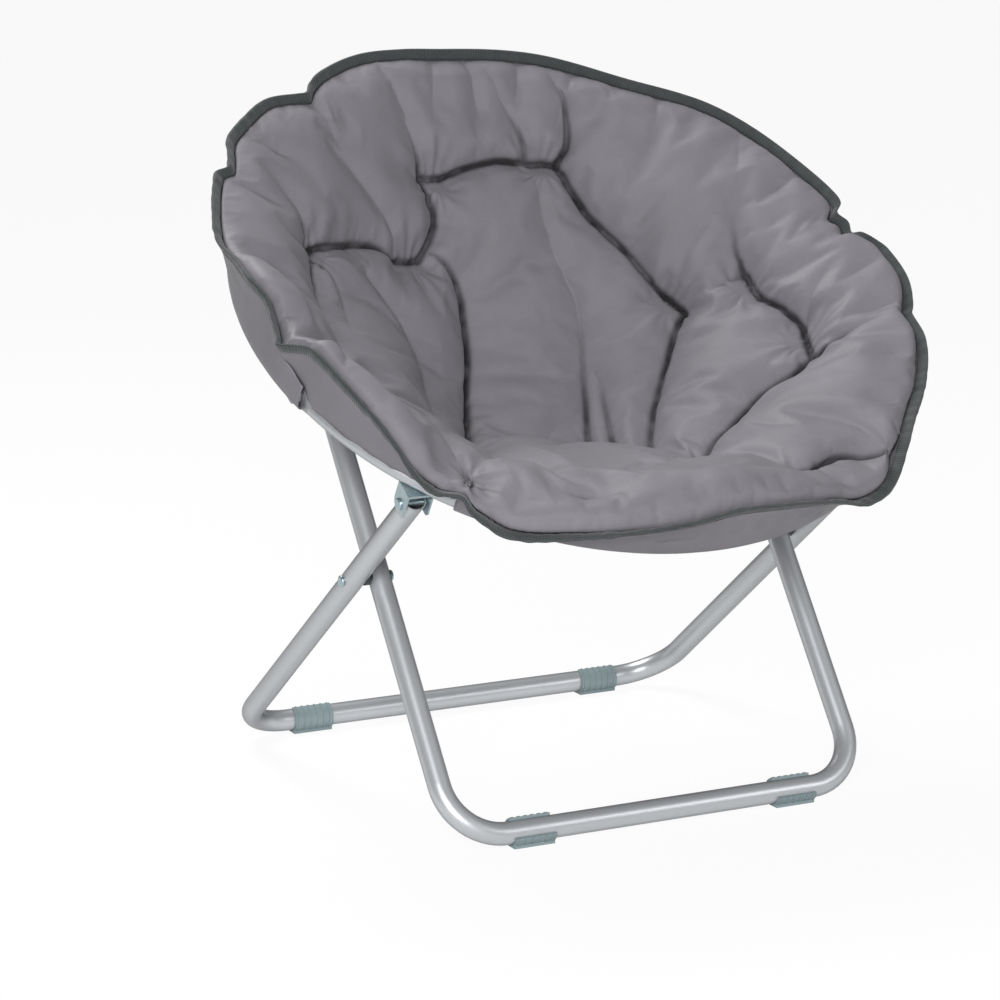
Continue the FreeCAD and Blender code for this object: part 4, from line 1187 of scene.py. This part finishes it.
class SAUCER_OT_stage(bpy.types.Operator):
    """Floor, lamps, sky and camera"""
    bl_idname = "saucer.stage"
    bl_label = "Set the stage"

    def execute(self, context):
        stage = context.scene.saucer_stage
        scene = context.scene
        scene.view_settings.view_transform = "Standard"
        corners = [(x * FLOOR_HALF, y * FLOOR_HALF, 0) for x, y in ((-1, -1), (1, -1), (1, 1), (-1, 1))]
        floor = new_piece("floor", corners, [(0, 1, 2, 3)], smooth=False)
        floor.data.materials.append(floor_paint(stage.floor_colour))
        scene.world = even_sky(stage.sky)
        for name, (place, size, power) in LAMPS.items():
            lamp = bpy.data.lights.new(name, "AREA")
            lamp.shape = "DISK"
            lamp.size = size
            lamp.energy = getattr(stage, power)
            stand(lamp, place, LAMPS_AIM - Vector(place))
        camera = bpy.data.cameras.new("camera")
        camera.lens = stage.lens
        camera.sensor_width = 36.0
        camera.clip_end = 2 * FLOOR_HALF
        turn, tip = math.radians(CAMERA_TURN), math.radians(CAMERA_TIP)
        back = Vector((math.sin(turn) * math.cos(tip), -math.cos(turn) * math.cos(tip), math.sin(tip)))
        scene.camera = stand(camera, CAMERA_PLACE, -back)
        return {"FINISHED"}


def floor_paint(colour):
    """A pale floor, nearly white to the camera, with faint shadows, and darker where the tubes mirror it."""
    paint = Paint("pale floor")
    tone = paint.tint(paint.noise(3.0, 2.0, 0.5), shaded(colour, 0.99), colour)
    plain = paint.node("ShaderNodeBsdfDiffuse", None, {"Color": tone})
    glow = paint.node("ShaderNodeEmission", None, {"Color": (1, 1, 1), "Strength": 1.0})
    seen = paint.node("ShaderNodeLightPath", output="Is Camera Ray")
    mirrored = paint.node("ShaderNodeLightPath", output="Is Glossy Ray")
    share = (seen * 0.93).at_least(mirrored * 0.5)
    paint.finish(paint.node("ShaderNodeMixShader", None, {0: share, 1: plain, 2: glow}))
    return paint.made


def even_sky(strength):
    """A sky that lights the chair evenly and looks white to the camera."""
    sky = Paint("studio", "worlds")
    even = sky.node("ShaderNodeBackground", None, {"Color": (1, 1, 1), "Strength": strength})
    white = sky.node("ShaderNodeBackground", None, {"Color": (1, 1, 1)})
    seen = sky.node("ShaderNodeLightPath", output="Is Camera Ray")
    sky.finish(sky.node("ShaderNodeMixShader", None, {0: seen, 1: even, 2: white}), "ShaderNodeOutputWorld")
    return sky.made


def stand(thing, place, look):
    """Put a lamp or a camera at a place, looking along a direction."""
    holder = bpy.data.objects.new(thing.name, thing)
    holder.location = place
    holder.rotation_euler = look.to_track_quat("-Z", "Y").to_euler()
    bpy.context.scene.collection.objects.link(holder)
    return holder


class SAUCER_PT_panel(bpy.types.Panel):
    """Sizes, colours and steps"""
    bl_label = "Saucer chair"
    bl_space_type = "VIEW_3D"
    bl_region_type = "UI"
    bl_category = "Saucer chair"

    def draw(self, context):
        for step in STEPS:
            self.layout.operator(step.bl_idname)
        for group in (context.scene.saucer_seat, context.scene.saucer_frame, context.scene.saucer_stage):
            box = self.layout.box()
            for name in type(group).__annotations__:
                box.prop(group, name)


STEPS = (SAUCER_OT_stage, SAUCER_OT_tubes, SAUCER_OT_fittings, SAUCER_OT_feet, SAUCER_OT_shell,
         SAUCER_OT_cushion, SAUCER_OT_binding, SAUCER_OT_sleeves)
CLASSES = (SeatSettings, FrameSettings, StageSettings) + STEPS + (SAUCER_PT_panel,)


def register():
    for item in CLASSES:
        bpy.utils.register_class(item)
    bpy.types.Scene.saucer_seat = PointerProperty(type=SeatSettings)
    bpy.types.Scene.saucer_frame = PointerProperty(type=FrameSettings)
    bpy.types.Scene.saucer_stage = PointerProperty(type=StageSettings)


def unregister():
    del bpy.types.Scene.saucer_seat
    del bpy.types.Scene.saucer_frame
    del bpy.types.Scene.saucer_stage
    for item in reversed(CLASSES):
        bpy.utils.unregister_class(item)


def main():
    register()
    bpy.ops.saucer.stage()
    bpy.ops.saucer.tubes()
    bpy.ops.saucer.fittings()
    bpy.ops.saucer.feet()
    bpy.ops.saucer.shell()
    bpy.ops.saucer.cushion()
    bpy.ops.saucer.binding()
    bpy.ops.saucer.sleeves()


if __name__ == "__main__":
    main()
